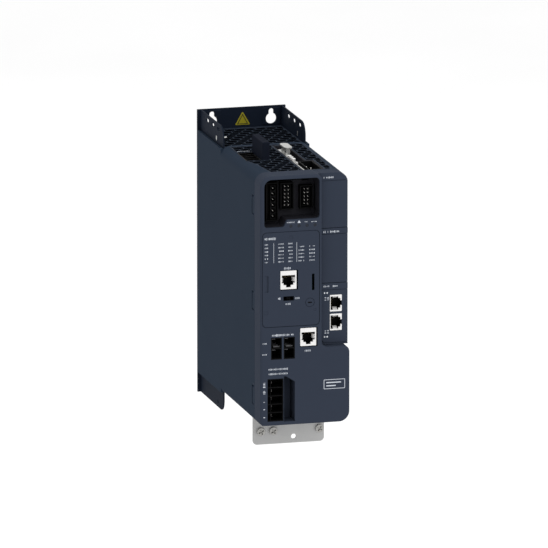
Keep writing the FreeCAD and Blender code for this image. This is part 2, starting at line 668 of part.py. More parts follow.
def signal_socket():
    """Upward facing signal socket at the front of the trough."""
    z = (239.5, BODY_TOP - 0.3)
    x, d = (10.6, 23.7), (167.3, 204.7)
    return block(x, d, z).cut(block(grow(x, -1.0), grow(d, -1.0), (z[0] + 2, z[1] + 1)))


def signal_pins():
    """Two contact pins in the signal socket."""
    return group([upright_rod(x, d, (241.5, 250.5), 0.5) for x, d in ((14.6, 181), (17.2, 187))])


# ---------------------------------------------------------------- shield plate
def shield_plate():
    """Upright lip of the folded earth plate under the drive, for motor cable shields."""
    lip = front_prism(rounded((-EMC_HALF, EMC_HALF), (EMC_BOTTOM, BODY_BOTTOM), (4, 4, 0, 0)),
                      (EMC_DEPTH - EMC_T, EMC_DEPTH))
    holes = [forward_rod(x, z, (EMC_DEPTH - 4, EMC_DEPTH + 1), 2.05) for x, z, _ in EMC_SCREWS]
    holes.append(forward_rod(4.9, -6.0, (EMC_DEPTH - 4, EMC_DEPTH + 1), 2.4))
    return lip.cut(holes)


def shield_shelf():
    """Level half of the folded earth plate, screwed to the underside."""
    shelf = block((-EMC_HALF, EMC_HALF), (104, EMC_DEPTH - EMC_T), (BODY_BOTTOM - EMC_T, BODY_BOTTOM))
    return shelf.cut([upright_rod(x, 115, (BODY_BOTTOM - 3, BODY_BOTTOM + 1), 1.7) for x in (-20, 20)])


def cross_head(x, z, turn):
    """Pan-head screw that faces forwards, with a cross recess turned by some degrees."""
    front = EMC_DEPTH + 2.2
    head = forward_rod(x, z, (EMC_DEPTH, front), 3.8)
    screw = join([head, forward_rod(x, z, (EMC_DEPTH - 8, EMC_DEPTH), 2.0)])
    recess = [block(grow((x,) * 2, u), (front - 1.6, front + 1), grow((z,) * 2, v))
              for u, v in ((2.6, 0.55), (0.55, 2.6))]
    for bar in recess:
        bar.rotate(V(x, 0, z), V(0, -1, 0), turn)
    return screw.cut(recess)


def shield_plate_screws():
    """Three clamp screws on the shield plate."""
    return group([cross_head(*place) for place in EMC_SCREWS])


def shelf_screws():
    """Two screws that hold the shield plate's shelf to the underside."""
    screws = []
    for x in (-20, 20):
        head = upright_rod(x, 115, (BODY_BOTTOM - EMC_T - 2.0, BODY_BOTTOM - EMC_T), 3.0)
        shank = upright_rod(x, 115, (BODY_BOTTOM - EMC_T, BODY_BOTTOM + 6), 1.6)
        screws.append(join([head, shank]))
    return group(screws)


# ---------------------------------------------------------------- electronics inside
def power_board():
    """Power circuit board in front of the heatsink."""
    return block((-36, 36), (79.5, 79.5 + BOARD_T), (44, 236))


def capacitors():
    """DC link capacitors on the power board."""
    start = 79.5 + BOARD_T
    return group([forward_rod(x, z, (start, start + 50), 13.5)
                  for x in (-16, 16) for z in (66, 98, 130, 162)])


def filter_choke():
    """Ring core of the mains filter."""
    ring = Part.makeTorus(11.0, 4.5, V(-20, -98, 205), V(0, 1, 0))
    return ring


def relays():
    """Relays of the charging circuit."""
    start = 79.5 + BOARD_T
    return group([block((x, x + 12), (start, start + 16), (190, 218)) for x in (2, 18)])


def control_board():
    """Control circuit board behind the front cover."""
    return block((-38.5, 15.6), (203.0, 203.0 + BOARD_T), (28, 236))


def interface_board():
    """Small board that carries the jacks and the selector switch."""
    d = (211.0 - BOARD_T, 211.0)
    upper = block((-36, 12), d, (111.5, 203))
    lower = block((-8, 12), d, (93.2, 111.5))
    return join([upper, lower])


def board_spacers():
    """Hexagonal spacers between the power board and the control board."""
    start = 79.5 + BOARD_T
    return group([forward_rod(x, z, (start, 203.0), 2.5) for x in (-34, 12) for z in (50, 182)])


def board_link():
    """Board-to-board connector between the two control boards."""
    return block((-30, -10), (203.0 + BOARD_T, 211.0 - BOARD_T), (172, 178))


def warning_triangle():
    """Plain yellow triangle stuck on the mounting plate."""
    return front_prism([(-6.4, 253.2, 0.8), (8.4, 253.2, 0.8), (1.0, 266.0, 0.8)],
                       (PLATE_T, PLATE_T + 0.2))


def main():
    """Build and write every sub-part."""
    os.makedirs("parts", exist_ok=True)
    parts = {
        "back_plate": back_plate(),
        "flange_left": flange(-1),
        "flange_right": flange(1),
        "ear_pins": ear_pins(),
        "warning_triangle": warning_triangle(),
        "heatsink": heatsink(),
        "power_module": power_module(),
        "fan_frame": fan_frame(),
        "fan_rotor": fan_rotor(),
        "fan_guard": fan_guard(),
        "housing_left": housing_shell(-1),
        "housing_right": housing_shell(1),
        "top_grille": top_grille(),
        "rear_grille": rear_grille(),
        "bottom_grille": bottom_grille(),
        "insulating_fin": insulating_fin(),
        "front_cover": front_cover(),
        "terminal_tray": terminal_tray(),
        "status_lights": status_lights(),
        "panel_door": panel_door(),
        "quarter_turn_lock": quarter_turn_lock(),
        "selector_body": selector_body(),
        "selector_slider": selector_slider(),
        "option_bezel": option_bezel(),
        "blank_cover_upper": blank_cover(0),
        "blank_cover_lower": blank_cover(1),
        "comm_case": comm_case(),
        "comm_lights": comm_lights(),
        "comm_board": comm_board(),
        "comm_jack_upper": jack(COMM_JACK_X, (206, COLUMN_FACE), COMM_JACK_Z[1], turned=True),
        "comm_jack_lower": jack(COMM_JACK_X, (206, COLUMN_FACE), COMM_JACK_Z[0], turned=True),
        "hmi_jack": jack(HMI_X, (211, FRONT - 0.2), HMI_Z),
        "can_jack": jack(CAN_X, (211, FRONT - 0.2), CAN_Z),
        "relay_header": open_header((-33.6, -22.2), (TRAY_BACK, HEADER_FACE), (209.6, 245.4), 1.0, 1.0),
        "io_header_left": open_header((-19.8, -7.2), (TRAY_BACK, HEADER_FACE), (219.4, 244.6), 1.0, 1.0),
        "io_header_right": open_header((-1.4, 11.0), (TRAY_BACK, HEADER_FACE), (219.4, 241.2), 1.0, 1.0),
        "header_pins": header_pins(),
        "dc_socket_left": dc_socket(DC_X[0]),
        "dc_socket_right": dc_socket(DC_X[1]),
        "dc_contacts": dc_contacts(),
        "motor_header": motor_header(),
        "motor_blades": motor_blades(),
        "mains_header": mains_header(),
        "mains_blades": mains_blades(),
        "clamp_trough": clamp_trough(),
        "shield_rail": shield_rail(),
        "shield_screws": shield_screws(),
        "signal_socket": signal_socket(),
        "signal_pins": signal_pins(),
        "shield_plate": shield_plate(),
        "shield_shelf": shield_shelf(),
        "shield_plate_screws": shield_plate_screws(),
        "shelf_screws": shelf_screws(),
        "power_board": power_board(),
        "capacitors": capacitors(),
        "filter_choke": filter_choke(),
        "relays": relays(),
        "control_board": control_board(),
        "interface_board": interface_board(),
        "board_spacers": board_spacers(),
        "board_link": board_link(),
    }
    for name, shape in parts.items():
        count, volume = len(shape.Solids), shape.Volume / 1000
        print(f"{name:22s} solids {count:3d} valid {shape.isValid()} volume {volume:.2f} cm3")
        save(name, shape)
    print(len(parts), "sub-parts")


main()
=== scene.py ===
"""Looks of a book-size servo drive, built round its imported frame.

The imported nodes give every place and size. Each class below is one sub-assembly: it dresses the nodes
whose shape is right, stands a softened or more detailed piece in for the others, and adds what is too
fine for the frame. Lengths are millimetres in the object's own frame, with the front towards -Y, and
become metres only when a mesh is made.
"""

import json
import logging
import math
from collections.abc import Callable, Sequence
from dataclasses import dataclass
from enum import Enum
from functools import cached_property
from typing import ClassVar

import bmesh
import bpy
from mathutils import Matrix, Vector


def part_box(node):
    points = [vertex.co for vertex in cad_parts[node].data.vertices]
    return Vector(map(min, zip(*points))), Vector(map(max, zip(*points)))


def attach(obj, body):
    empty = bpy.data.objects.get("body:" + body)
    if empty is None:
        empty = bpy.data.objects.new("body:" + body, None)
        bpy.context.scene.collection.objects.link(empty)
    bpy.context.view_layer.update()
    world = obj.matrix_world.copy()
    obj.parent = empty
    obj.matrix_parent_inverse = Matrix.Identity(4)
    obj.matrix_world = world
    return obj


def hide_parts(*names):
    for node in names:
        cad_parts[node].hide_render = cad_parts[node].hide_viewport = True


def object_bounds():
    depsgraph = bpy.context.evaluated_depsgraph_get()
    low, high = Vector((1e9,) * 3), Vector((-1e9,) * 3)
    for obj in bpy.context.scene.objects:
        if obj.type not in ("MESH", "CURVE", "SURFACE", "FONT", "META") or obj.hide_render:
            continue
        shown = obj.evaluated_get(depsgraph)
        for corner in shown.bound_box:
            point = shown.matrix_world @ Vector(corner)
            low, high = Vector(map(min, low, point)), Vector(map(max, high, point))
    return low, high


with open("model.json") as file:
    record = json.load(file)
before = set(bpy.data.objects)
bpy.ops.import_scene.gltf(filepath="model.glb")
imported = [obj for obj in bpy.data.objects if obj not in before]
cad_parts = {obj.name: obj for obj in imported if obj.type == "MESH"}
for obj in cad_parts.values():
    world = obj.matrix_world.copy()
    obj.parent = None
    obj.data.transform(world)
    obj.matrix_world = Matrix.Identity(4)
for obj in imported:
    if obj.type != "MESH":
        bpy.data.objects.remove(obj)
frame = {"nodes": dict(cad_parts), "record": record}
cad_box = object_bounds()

MM = 0.001
MIX_A, MIX_B, MIX_RESULT = 6, 7, 2          # colour sockets of a Mix node
INK_RISE, INK_ROOT = 0.06, 0.2               # how far printed ink stands proud and reaches in
# Where the edge colour starts and where it is full: partly abrasion, partly a painted highlight on
# edges.
WEAR_GLINT_START, WEAR_GLINT_FULL = 0.995, 0.8           # cosine between the true and the rounded normal
# Where the painted wall shade is full and where it ends.
WALL, LEVEL = 0.2, 0.8                       # upward part of the normal on walls, on level faces
RELIEF_STRENGTH, GLOSS_SWING, LEAST_ROUGH, PLAIN_IOR = 0.6, 0.06, 0.02, 1.5
SAME_POINT, SAME_FACE = 0.002, 0.5           # packed points and facets that are one, mm and degrees
log = logging.getLogger("servo_drive")

Point = tuple[float, float]
Triple = tuple[float, float, float]
Place = Callable[[float, float, float], Triple]
Node, Socket, Tree, Thing = (bpy.types.Node, bpy.types.NodeSocket, bpy.types.NodeTree,
                              bpy.types.Object)
BODIES = frame["record"]["behaviour"]["bodies"]
BODY_OF = {node: body for body, nodes in BODIES.items() for node in nodes}


# ---------------------------------------------------------------- colours and nodes
def linear(hex_colour: str) -> tuple[float, float, float, float]:
    """Turns an sRGB hex colour to the linear values that shaders take.

    Args:
        hex_colour: Six hex digits.

    Returns:
        Red, green, blue and an alpha of one.
    """
    channels = [int(hex_colour[i:i + 2], 16) / 255 for i in (0, 2, 4)]
    curve = [c / 12.92 if c <= 0.04045 else ((c + 0.055) / 1.055) ** 2.4 for c in channels]
    return curve[0], curve[1], curve[2], 1.0


def add_node(tree: Tree, kind: str, settings: dict | None = None,
             links: dict | None = None) -> Node:
    """Adds a node with its settings and links.

    Args:
        tree: The tree that the node joins.
        kind: The node's type name.
        settings: Values by attribute name, or by input name or index.
        links: Output sockets by the name or index of the input that they feed.

    Returns:
        The new node.
    """
    node = tree.nodes.new(kind)
    for key, value in (settings or {}).items():
        if isinstance(key, str) and hasattr(node, key):
            setattr(node, key, value)
        else:
            node.inputs[key].default_value = value
    for key, socket in (links or {}).items():
        tree.links.new(socket, node.inputs[key])
    return node


def blend(tree: Tree, factor: Socket, first: Socket | str, second: Socket | str) -> Socket:
    """Mixes two colours, each given as a socket or as sRGB hex digits."""
    settings, links = {"data_type": "RGBA"}, {"Factor": factor}
    for index, colour in ((MIX_A, first), (MIX_B, second)):
        if isinstance(colour, str):
            settings[index] = linear(colour)
        else:
            links[index] = colour
    return add_node(tree, "ShaderNodeMix", settings, links).outputs[MIX_RESULT]


# ---------------------------------------------------------------- finishes
class Grain(Enum):
    """How a surface was made. The value is how far its pattern is stretched along X, Y and Z."""

    ERODED = (1.0, 1.0, 1.0)        # spark-eroded mould, an even fine matt
    SPRAYED = (1.0, 1.0, 0.999)     # powder coat, a soft orange peel
    ROLLED = (0.12, 1.0, 1.0)       # rolled sheet, faint streaks across
    DRAWN = (1.0, 1.0, 0.04)        # extruded or drawn, lines along its length
    WOVEN = (1.0, 0.999, 1.0)       # glass cloth under varnish
    POLISHED = (0.999, 1.0, 1.0)    # polished tool or bright plating


@dataclass(frozen=True)
class Finish:
    """One real material with its finish, and the light or shade painted into its colour.

    Attributes:
        name: What the material is and how it was finished.
        slot: The record's material slot.
        base: Main colour.
        drift: Colour that the main one drifts to over patches.
        roughness: Mean roughness.
        grain: How the surface was made.
        grain_mm: Size of the fine relief, drawn about twice as coarse as it is so that it shows.
        relief_mm: Height of the fine relief.
        metallic: One for bare or plated metal.
        specular: Reflection level; half is the plain dielectric one.
        coat: Weight of a clear layer.
        transmission: Share of light let through.
        edge: Colour of the edges, partly abrasion and partly a painted highlight where rounded edges
            would catch light.
        edge_mm: Radius that edges seem rounded to.
        wear_and_glint: How strongly the edge colour, abrasion and painted highlight, shows.
        patch_mm: Size of the colour patches.
        wall_shade: Painted shade colour of the upright walls, where it is used.
    """

    name: str
    slot: str
    base: str
    drift: str
    roughness: float
    grain: Grain = Grain.ERODED
    grain_mm: float = 0.8
    relief_mm: float = 0.02
    metallic: float = 0.0
    specular: float = 0.5
    coat: float = 0.0
    transmission: float = 0.0
    edge: str = "5b6472"
    edge_mm: float = 0.35
    wear_and_glint: float = 0.35
    patch_mm: float = 45.0
    wall_shade: str | None = None

    def fine_pattern(self, tree: Tree, coords: Socket) -> Socket:
        """Makes the fine relief of the surface.

        Args:
            tree: The material's tree.
            coords: Object coordinates.

        Returns:
            A height between nought and one.
        """
        per_metre = 1 / (self.grain_mm * MM)
        stretched = add_node(tree, "ShaderNodeMapping", {"Scale": self.grain.value},
                             {"Vector": coords}).outputs["Vector"]
        if self.grain is not Grain.WOVEN:
            noise = add_node(tree, "ShaderNodeTexNoise", {"Scale": per_metre, "Detail": 2.0},
                             {"Vector": stretched})
            return noise.outputs["Fac"]
        waves = [add_node(tree, "ShaderNodeTexWave", {"bands_direction": axis, "Scale": per_metre / 20},
                          {"Vector": stretched}) for axis in ("X", "Z")]
        cloth = add_node(tree, "ShaderNodeMath", {"operation": "MULTIPLY"},
                         {0: waves[0].outputs["Fac"], 1: waves[1].outputs["Fac"]})
        return cloth.outputs["Value"]

    def build(self) -> bpy.types.Material:
        """Makes the material, or returns the one made before.

        Returns:
            The material.
        """
        made = bpy.data.materials.get(self.name)
        if made:
            return made
        material = bpy.data.materials.new(self.name)
        material.use_nodes = True
        tree = material.node_tree
        tree.nodes.clear()
        coords = add_node(tree, "ShaderNodeTexCoord").outputs["Object"]
        patches = add_node(tree, "ShaderNodeTexNoise",
                           {"Scale": 1 / (self.patch_mm * MM), "Detail": 4.0},
                           {"Vector": coords}).outputs["Fac"]
        colour = blend(tree, patches, self.base, self.drift)
        normal = add_node(tree, "ShaderNodeNewGeometry").outputs["Normal"]
        rounded = add_node(tree, "ShaderNodeBevel",
                           {"samples": 4, "Radius": self.edge_mm * MM}).outputs["Normal"]
        facing = add_node(tree, "ShaderNodeVectorMath", {"operation": "DOT_PRODUCT"},
                          {0: normal, 1: rounded})
        # Edges take the edge colour: partly abrasion, partly a painted highlight.
        wear_and_glint_mask = add_node(tree, "ShaderNodeMapRange",
                          {"From Min": WEAR_GLINT_START, "From Max": WEAR_GLINT_FULL,
                           "To Min": 0.0, "To Max": self.wear_and_glint},
                          {"Value": facing.outputs["Value"]}).outputs["Result"]
        wear_glint_shade_colour = blend(tree, wear_and_glint_mask, colour, self.edge)
        # Upright walls take the painted shade colour.
        if self.wall_shade:
            up = add_node(tree, "ShaderNodeSeparateXYZ", links={"Vector": normal}).outputs["Z"]
            level = add_node(tree, "ShaderNodeMapRange", {"From Min": WALL, "From Max": LEVEL},
                             {"Value": up})
            wear_glint_shade_colour = blend(tree, level.outputs["Result"], self.wall_shade, wear_glint_shade_colour)
        height = self.fine_pattern(tree, coords)
        relief = add_node(tree, "ShaderNodeBump",
                          {"Strength": RELIEF_STRENGTH, "Distance": self.relief_mm * MM},
                          {"Height": height, "Normal": rounded}).outputs["Normal"]
        gloss = add_node(tree, "ShaderNodeMapRange",
                         {"To Min": max(self.roughness - GLOSS_SWING, LEAST_ROUGH),
                          "To Max": self.roughness + GLOSS_SWING},
                         {"Value": height}).outputs["Result"]
        shader = add_node(tree, "ShaderNodeBsdfPrincipled",
                          {"Metallic": self.metallic, "IOR": PLAIN_IOR,
                           "Specular IOR Level": self.specular, "Coat Weight": self.coat,
                           "Transmission Weight": self.transmission},
                          {"Base Color": wear_glint_shade_colour, "Roughness": gloss, "Normal": relief})
        add_node(tree, "ShaderNodeOutputMaterial", links={"Surface": shader.outputs["BSDF"]})
        return material


# Polycarbonate blend from a fine spark-eroded mould: an even, dull blue-grey.
HOUSING_PC = Finish("Moulded_PC_ABS_slate", "housing_plastic", "212b38", "242e3b", 0.7,
                    specular=0.02, edge="3c4656", wear_and_glint=0.4)
# The same blend on the front pieces, slightly lighter and warmer: the light that the front faces get is
# painted into its base.
FRONT_PC_LIT = Finish("Moulded_PC_ABS_front", "housing_plastic", "2e3440", "313743", 0.7, specular=0.02,
                  edge="485160", wear_and_glint=0.35)
# The same blend, thin ribs: the upright walls of the cells are painted near-black as shade.
GRILLE_PC = Finish("Moulded_PC_ABS_grille", "housing_plastic", "2b323d", "303742", 0.65,
                   specular=0.02, edge="3c4553", wear_and_glint=0.3, edge_mm=0.15, wall_shade="0a0d12")
# The same blend on the divider, darker: the shade that falls on it is painted into its base.
FIN_PC_SHADED = Finish("Moulded_PC_ABS_dark", "housing_plastic", "151821", "191d27", 0.7, specular=0.01,
                edge="2a3039", wear_and_glint=0.4)
# Flame-retardant PBT of the inner tray: neutral near-black, softly shiny.
TRAY_PBT = Finish("Moulded_PBT_black", "tray_plastic", "202025", "26262b", 0.55, specular=0.05,
                  edge="2b2b2f")
# PA66 of the connector bodies: black, with a slight painted sheen on its edges.
CONNECTOR_PA = Finish("Moulded_PA66_black", "connector_black", "060607", "09090a", 0.5,
                      specular=0.06, edge="1b1b1d", wear_and_glint=0.3, edge_mm=0.2)
# Powder-coated sheet steel: near-black with a soft orange peel.
POWDER_STEEL = Finish("Powder_coated_steel", "painted_steel", "131924", "181f2b", 0.6,
                      Grain.SPRAYED, 1.6, 0.04, specular=0.02, edge="3a424e", wear_and_glint=0.45)
# Zinc-plated sheet, passivated: pale grey, satin, with faint rolling streaks.
ZINC_SHEET = Finish("Zinc_plated_sheet", "plated_steel", "a2a2a2", "ababaa", 0.55, Grain.ROLLED,
                    1.2, 0.008, metallic=0.5, edge="c9c9c7", wear_and_glint=0.4, patch_mm=9.0)
# Nickel plating of the jack shells and the clamp screws: bright and nearly even.
NICKEL_SHELL = Finish("Nickel_plated_shell", "plated_steel", "d6d5d4", "e3e2e1", 0.38, Grain.ROLLED,
                      0.9, 0.004, metallic=0.45, edge="f4f2f0", wear_and_glint=0.3, edge_mm=0.15,
                      patch_mm=6.0)
# Bright zinc on the clamp metalwork.
BRIGHT_ZINC = Finish("Bright_zinc_plate", "plated_steel", "a9aaa8", "c6c6c3", 0.34, Grain.ROLLED,
                     1.0, 0.008, metallic=0.8, edge="f0f0ee", wear_and_glint=0.4, edge_mm=0.2, patch_mm=5.0)
# Zinc-plated machine screws: satin grey.
SCREW_ZINC = Finish("Zinc_plated_screw", "screw_steel", "8e8d8a", "a2a19e", 0.36, Grain.POLISHED,
                    0.5, 0.004, metallic=0.75, edge="ececea", wear_and_glint=0.4, edge_mm=0.15, patch_mm=3.0)
# Tinned brass contacts: bright, slightly warm metal.
TINNED_BRASS = Finish("Tinned_brass_contact", "tinned_brass", "d0cec9", "dedcd8", 0.35,
                      Grain.POLISHED, 0.4, 0.003, metallic=0.45, edge="efeeea", wear_and_glint=0.3,
                      edge_mm=0.1, patch_mm=2.0)
# The same tin, darker and duller, on the wide contacts.
DULL_TIN = Finish("Dulled_tin_contact", "tinned_brass", "606063", "6e6e71", 0.45, Grain.POLISHED,
                  0.4, 0.003, metallic=0.3, specular=0.1, edge="77777a", wear_and_glint=0.3, edge_mm=0.1,
                  patch_mm=2.0)
# Gold flash over nickel on the signal springs: warm and glossy.
GOLD_FLASH = Finish("Gold_flash_contact", "tinned_brass", "a5946a", "b5a478", 0.3, Grain.POLISHED,
                    0.4, 0.002, metallic=0.9, edge="c9b88e", wear_and_glint=0.3, edge_mm=0.08, patch_mm=2.0)
# Extruded aluminium: grey, satin, with drawing lines along its length.
EXTRUDED_ALU = Finish("Extruded_aluminium", "heatsink_aluminium", "9da0a3", "a8abad", 0.42,
                      Grain.DRAWN, 0.7, 0.02, metallic=1.0, edge="c8cacc", patch_mm=30.0)
# Shrunk PVC sleeve of the capacitors: dark blue and glossy.
SHRUNK_SLEEVE = Finish("Shrunk_PVC_sleeve", "capacitor_sleeve", "10141f", "151a28", 0.25,
                       Grain.POLISHED, 1.4, 0.01, edge="2c3550", patch_mm=20.0)
# Glass-epoxy laminate under green solder resist: the cloth shows faintly.
GREEN_LAMINATE = Finish("Solder_resist_laminate", "board_laminate", "0d3d22", "12482a", 0.35,
                        Grain.WOVEN, 1.0, 0.01, coat=0.2, edge="8f8a5a", wear_and_glint=0.6, patch_mm=16.0)
# Lacquered ferrite of the choke.
LACQUERED_FERRITE = Finish("Lacquered_ferrite", "ferrite", "1c221d", "222a24", 0.4, Grain.SPRAYED,
                           1.2, 0.03, edge="3a443c")
# Enamelled copper winding wire: glossy red-brown.
ENAMEL_COPPER = Finish("Enamelled_copper_wire", "tinned_brass", "8a4a24", "9a552b", 0.22,
                       Grain.POLISHED, 0.8, 0.002, metallic=0.9, edge="c47d4a", edge_mm=0.1,
                       patch_mm=4.0)
# Smoked polycarbonate light pipes: dark while they are off.
LIGHT_PIPE_PC = Finish("Smoked_polycarbonate_pipe", "light_pipe", "1b1f27", "222731", 0.25,
                       Grain.POLISHED, 0.6, 0.002, specular=0.15, transmission=0.1, edge="323a46",
                       edge_mm=0.15)
# Clear polycarbonate light pipes of the option module: pale ends.
CLEAR_PIPE_PC = Finish("Clear_polycarbonate_pipe", "light_pipe", "cfd4da", "dfe3e8", 0.2,
                       Grain.POLISHED, 0.6, 0.002, coat=0.3, transmission=0.1, edge="f2f4f6",
                       edge_mm=0.1)
# Printed polyester film: dull olive yellow, with a darker border.
YELLOW_FILM = Finish("Printed_film_yellow", "warning_yellow", "857c12", "938a18", 0.4,
                     Grain.POLISHED, 1.0, 0.003, specular=0.3, edge="a79d2c")
DARK_FILM = Finish("Printed_film_dark", "warning_yellow", "2a280c", "322f10", 0.45, Grain.POLISHED,
                   1.0, 0.003, specular=0.3, edge="4a461c")
# Pad-printed epoxy ink: pale grey and matt.
PRINT_INK = Finish("Pad_printed_ink", "housing_plastic", "b4b9c1", "c2c7cf", 0.6, Grain.ERODED, 0.5,
                   0.004, edge="ccd0d6", wear_and_glint=0.2, edge_mm=0.05, patch_mm=4.0)
# Epoxy mouldings of the components on the boards.
EPOXY_CHIP = Finish("Moulded_epoxy_component", "connector_black", "141416", "1b1b1e", 0.5,
                    edge="38383c", edge_mm=0.15, patch_mm=8.0)


# ---------------------------------------------------------------- places and meshes
@dataclass(frozen=True)
class Span:
    """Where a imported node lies, in millimetres."""

    low: Vector
    high: Vector

    @classmethod
    def of(cls, node: str) -> "Span":
        """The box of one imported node."""
        low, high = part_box(node)
        return cls(low / MM, high / MM)

    @property
    def centre(self) -> Vector:
        """Middle of the box."""
        return (self.low + self.high) / 2

    @property
    def size(self) -> Vector:
        """Edge lengths of the box."""
        return self.high - self.low

    @property
    def front(self) -> float:
        """Y of the face towards the front."""
        return self.low.y


class Solid:
    """A mesh under construction, in millimetres."""

    def __init__(self) -> None:
        """Starts an empty mesh."""
        self.bm = bmesh.new()

    def block(self, low: Sequence[float], high: Sequence[float]) -> "Solid":
        """Adds a box between two corners and returns the mesh."""
        low, high = Vector(low), Vector(high)
        place = Matrix.Translation((low + high) / 2) @ Matrix.Diagonal((*(high - low), 1))
        bmesh.ops.create_cube(self.bm, size=1.0, matrix=place)
        return self

    def loft(self, rings: Sequence[Sequence[Sequence[float]]], closed: bool = True,
             capped: bool = True) -> "Solid":
        """Adds a skin through rings of equal length.

        Args:
            rings: Rings of points, in order.
            closed: True joins the last point of a ring to its first.
            capped: True closes the two end rings.

        Returns:
            The mesh, for chaining.
        """
        rows = [[self.bm.verts.new(p) for p in ring] for ring in rings]
        count = len(rows[0])
        for low, high in zip(rows, rows[1:]):
            for i in range(count if closed else count - 1):
                j = (i + 1) % count
                self.bm.faces.new((low[i], low[j], high[j], high[i]))
        if capped:
            self.bm.faces.new(list(reversed(rows[0])))
            self.bm.faces.new(rows[-1])
        return self

    def prism(self, outline: Sequence[Point], span: Point, place: Place) -> "Solid":
        """Adds a prism of a flat outline.

        Args:
            outline: Corner points (u, v) in order.
            span: The two distances w between which the outline is drawn out.
            place: Turns u, v, w into a point of the object's frame.

        Returns:
            The mesh, for chaining.
        """
        return self.loft([[place(u, v, w) for u, v in outline] for w in span])

    def tube(self, outline: Sequence[Point], hole: Sequence[Point], span: Point, place: Place
             ) -> "Solid":
        """Adds a prism with a hole; outline and hole have the same number of points."""
        near, far = span
        path = ((outline, near), (outline, far), (hole, far), (hole, near), (outline, near))
        rings = [[place(u, v, w) for u, v in points] for points, w in path]
        return self.loft(rings, capped=False)

    def lathe(self, profile: Sequence[Point], centre: Sequence[float], axis: str, steps: int) -> "Solid":
        """Adds a turned shape.

        Args:
            profile: Points (radius, height along the axis), starting and ending on the axis.
            centre: Point that the heights count from.
            axis: "Y" or "Z"; heights grow towards +Z, or towards the front on "Y".
            steps: Facets round the axis.

        Returns:
            The mesh, for chaining.
        """
        cx, cy, cz = centre
        turns = [2 * math.pi * i / steps for i in range(steps)]

        def lay(radius: float, height: float, turn: float) -> Triple:
            across, up = radius * math.cos(turn), radius * math.sin(turn)
            if axis == "Y":
                return cx + across, cy - height, cz + up
            return cx + across, cy + up, cz + height

        rings = [[lay(max(radius, 0.001), height, t) for t in turns] for radius, height in profile]
        return self.loft(rings)

    def strip(self, path: Sequence[Point], thickness: float, width: Point, place: Place
              ) -> "Solid":
        """Adds a bent strip that follows a path (u, v) and has its width along w."""
        points = [Vector(p) for p in path]
        sides: list[tuple[Vector, Vector]] = []
        for i, p in enumerate(points):
            ahead = (points[min(i + 1, len(points) - 1)] - points[max(i - 1, 0)]).normalized()
            off = Vector((-ahead.y, ahead.x)) * thickness / 2
            sides.append((p + off, p - off))
        outline = [tuple(a) for a, _ in sides] + [tuple(b) for _, b in reversed(sides)]
        return self.prism(outline, width, place)

    def object(self, name: str, merge_mm: float = 0.0005) -> Thing:
        """Makes the finished object.

        Args:
            name: The object's name.
            merge_mm: Distance within which points are merged.

        Returns:
            The object, in metres, at the origin.
        """
        bmesh.ops.remove_doubles(self.bm, verts=self.bm.verts, dist=merge_mm)
        bmesh.ops.recalc_face_normals(self.bm, faces=self.bm.faces)
        self.bm.transform(Matrix.Scale(MM, 4))
        mesh = bpy.data.meshes.new(name)
        self.bm.to_mesh(mesh)
        self.bm.free()
        return linked(name, mesh)


def linked(name: str, mesh: bpy.types.Mesh) -> Thing:
    """Puts a mesh into the scene as an object at the origin."""
    thing = bpy.data.objects.new(name, mesh)
    bpy.context.scene.collection.objects.link(thing)
    return thing


def applied(thing: Thing) -> Thing:
    """Turns an object and its modifiers into a plain mesh object of the same name.

    Args:
        thing: The object, which is removed.

    Returns:
        The plain object.
    """
    bpy.context.view_layer.update()
    graph = bpy.context.evaluated_depsgraph_get()
    mesh = bpy.data.meshes.new_from_object(thing.evaluated_get(graph))
    name = thing.name
    bpy.data.objects.remove(thing)
    mesh.name = name
    return linked(name, mesh)


def rounded_edges(thing: Thing, radius: float, steps: int = 2, angle: float = 35.0
                  ) -> Thing:
    """Rounds the edges of an object and evens out its shading.

    Args:
        thing: The object, which is replaced.
        radius: Edge radius in millimetres.
        steps: Facets across each rounded edge.
        angle: Smallest angle, in degrees, of an edge that is rounded.

    Returns:
        The new object.
    """
    bevel = thing.modifiers.new("edges", "BEVEL")
    bevel.width = radius * MM
    bevel.segments = steps
    bevel.limit_method = "ANGLE"
    bevel.angle_limit = math.radians(angle)
    bevel.use_clamp_overlap = True
    thing.data.shade_smooth()
    thing.data.set_sharp_from_angle(angle=math.radians(angle + 5))
    thing.modifiers.new("shading", "WEIGHTED_NORMAL").keep_sharp = True
    return applied(thing)


def rounded_outline(low: Point, high: Point, radius: float, steps: int = 4) -> list[Point]:
    """Corner points of a rectangle with round corners, counter-clockwise."""
    corners = ((high[0] - radius, low[1] + radius, -90), (high[0] - radius, high[1] - radius, 0),
               (low[0] + radius, high[1] - radius, 90), (low[0] + radius, low[1] + radius, 180))
    points = []
    for u, v, start in corners:
        for i in range(steps + 1):
            turn = math.radians(start + 90 * i / steps)
            points.append((u + radius * math.cos(turn), v + radius * math.sin(turn)))
    return points


def facing_front(u: float, v: float, w: float) -> Triple:
    """Lays (u, v) on the front plane, with w as Y."""
    return u, w, v


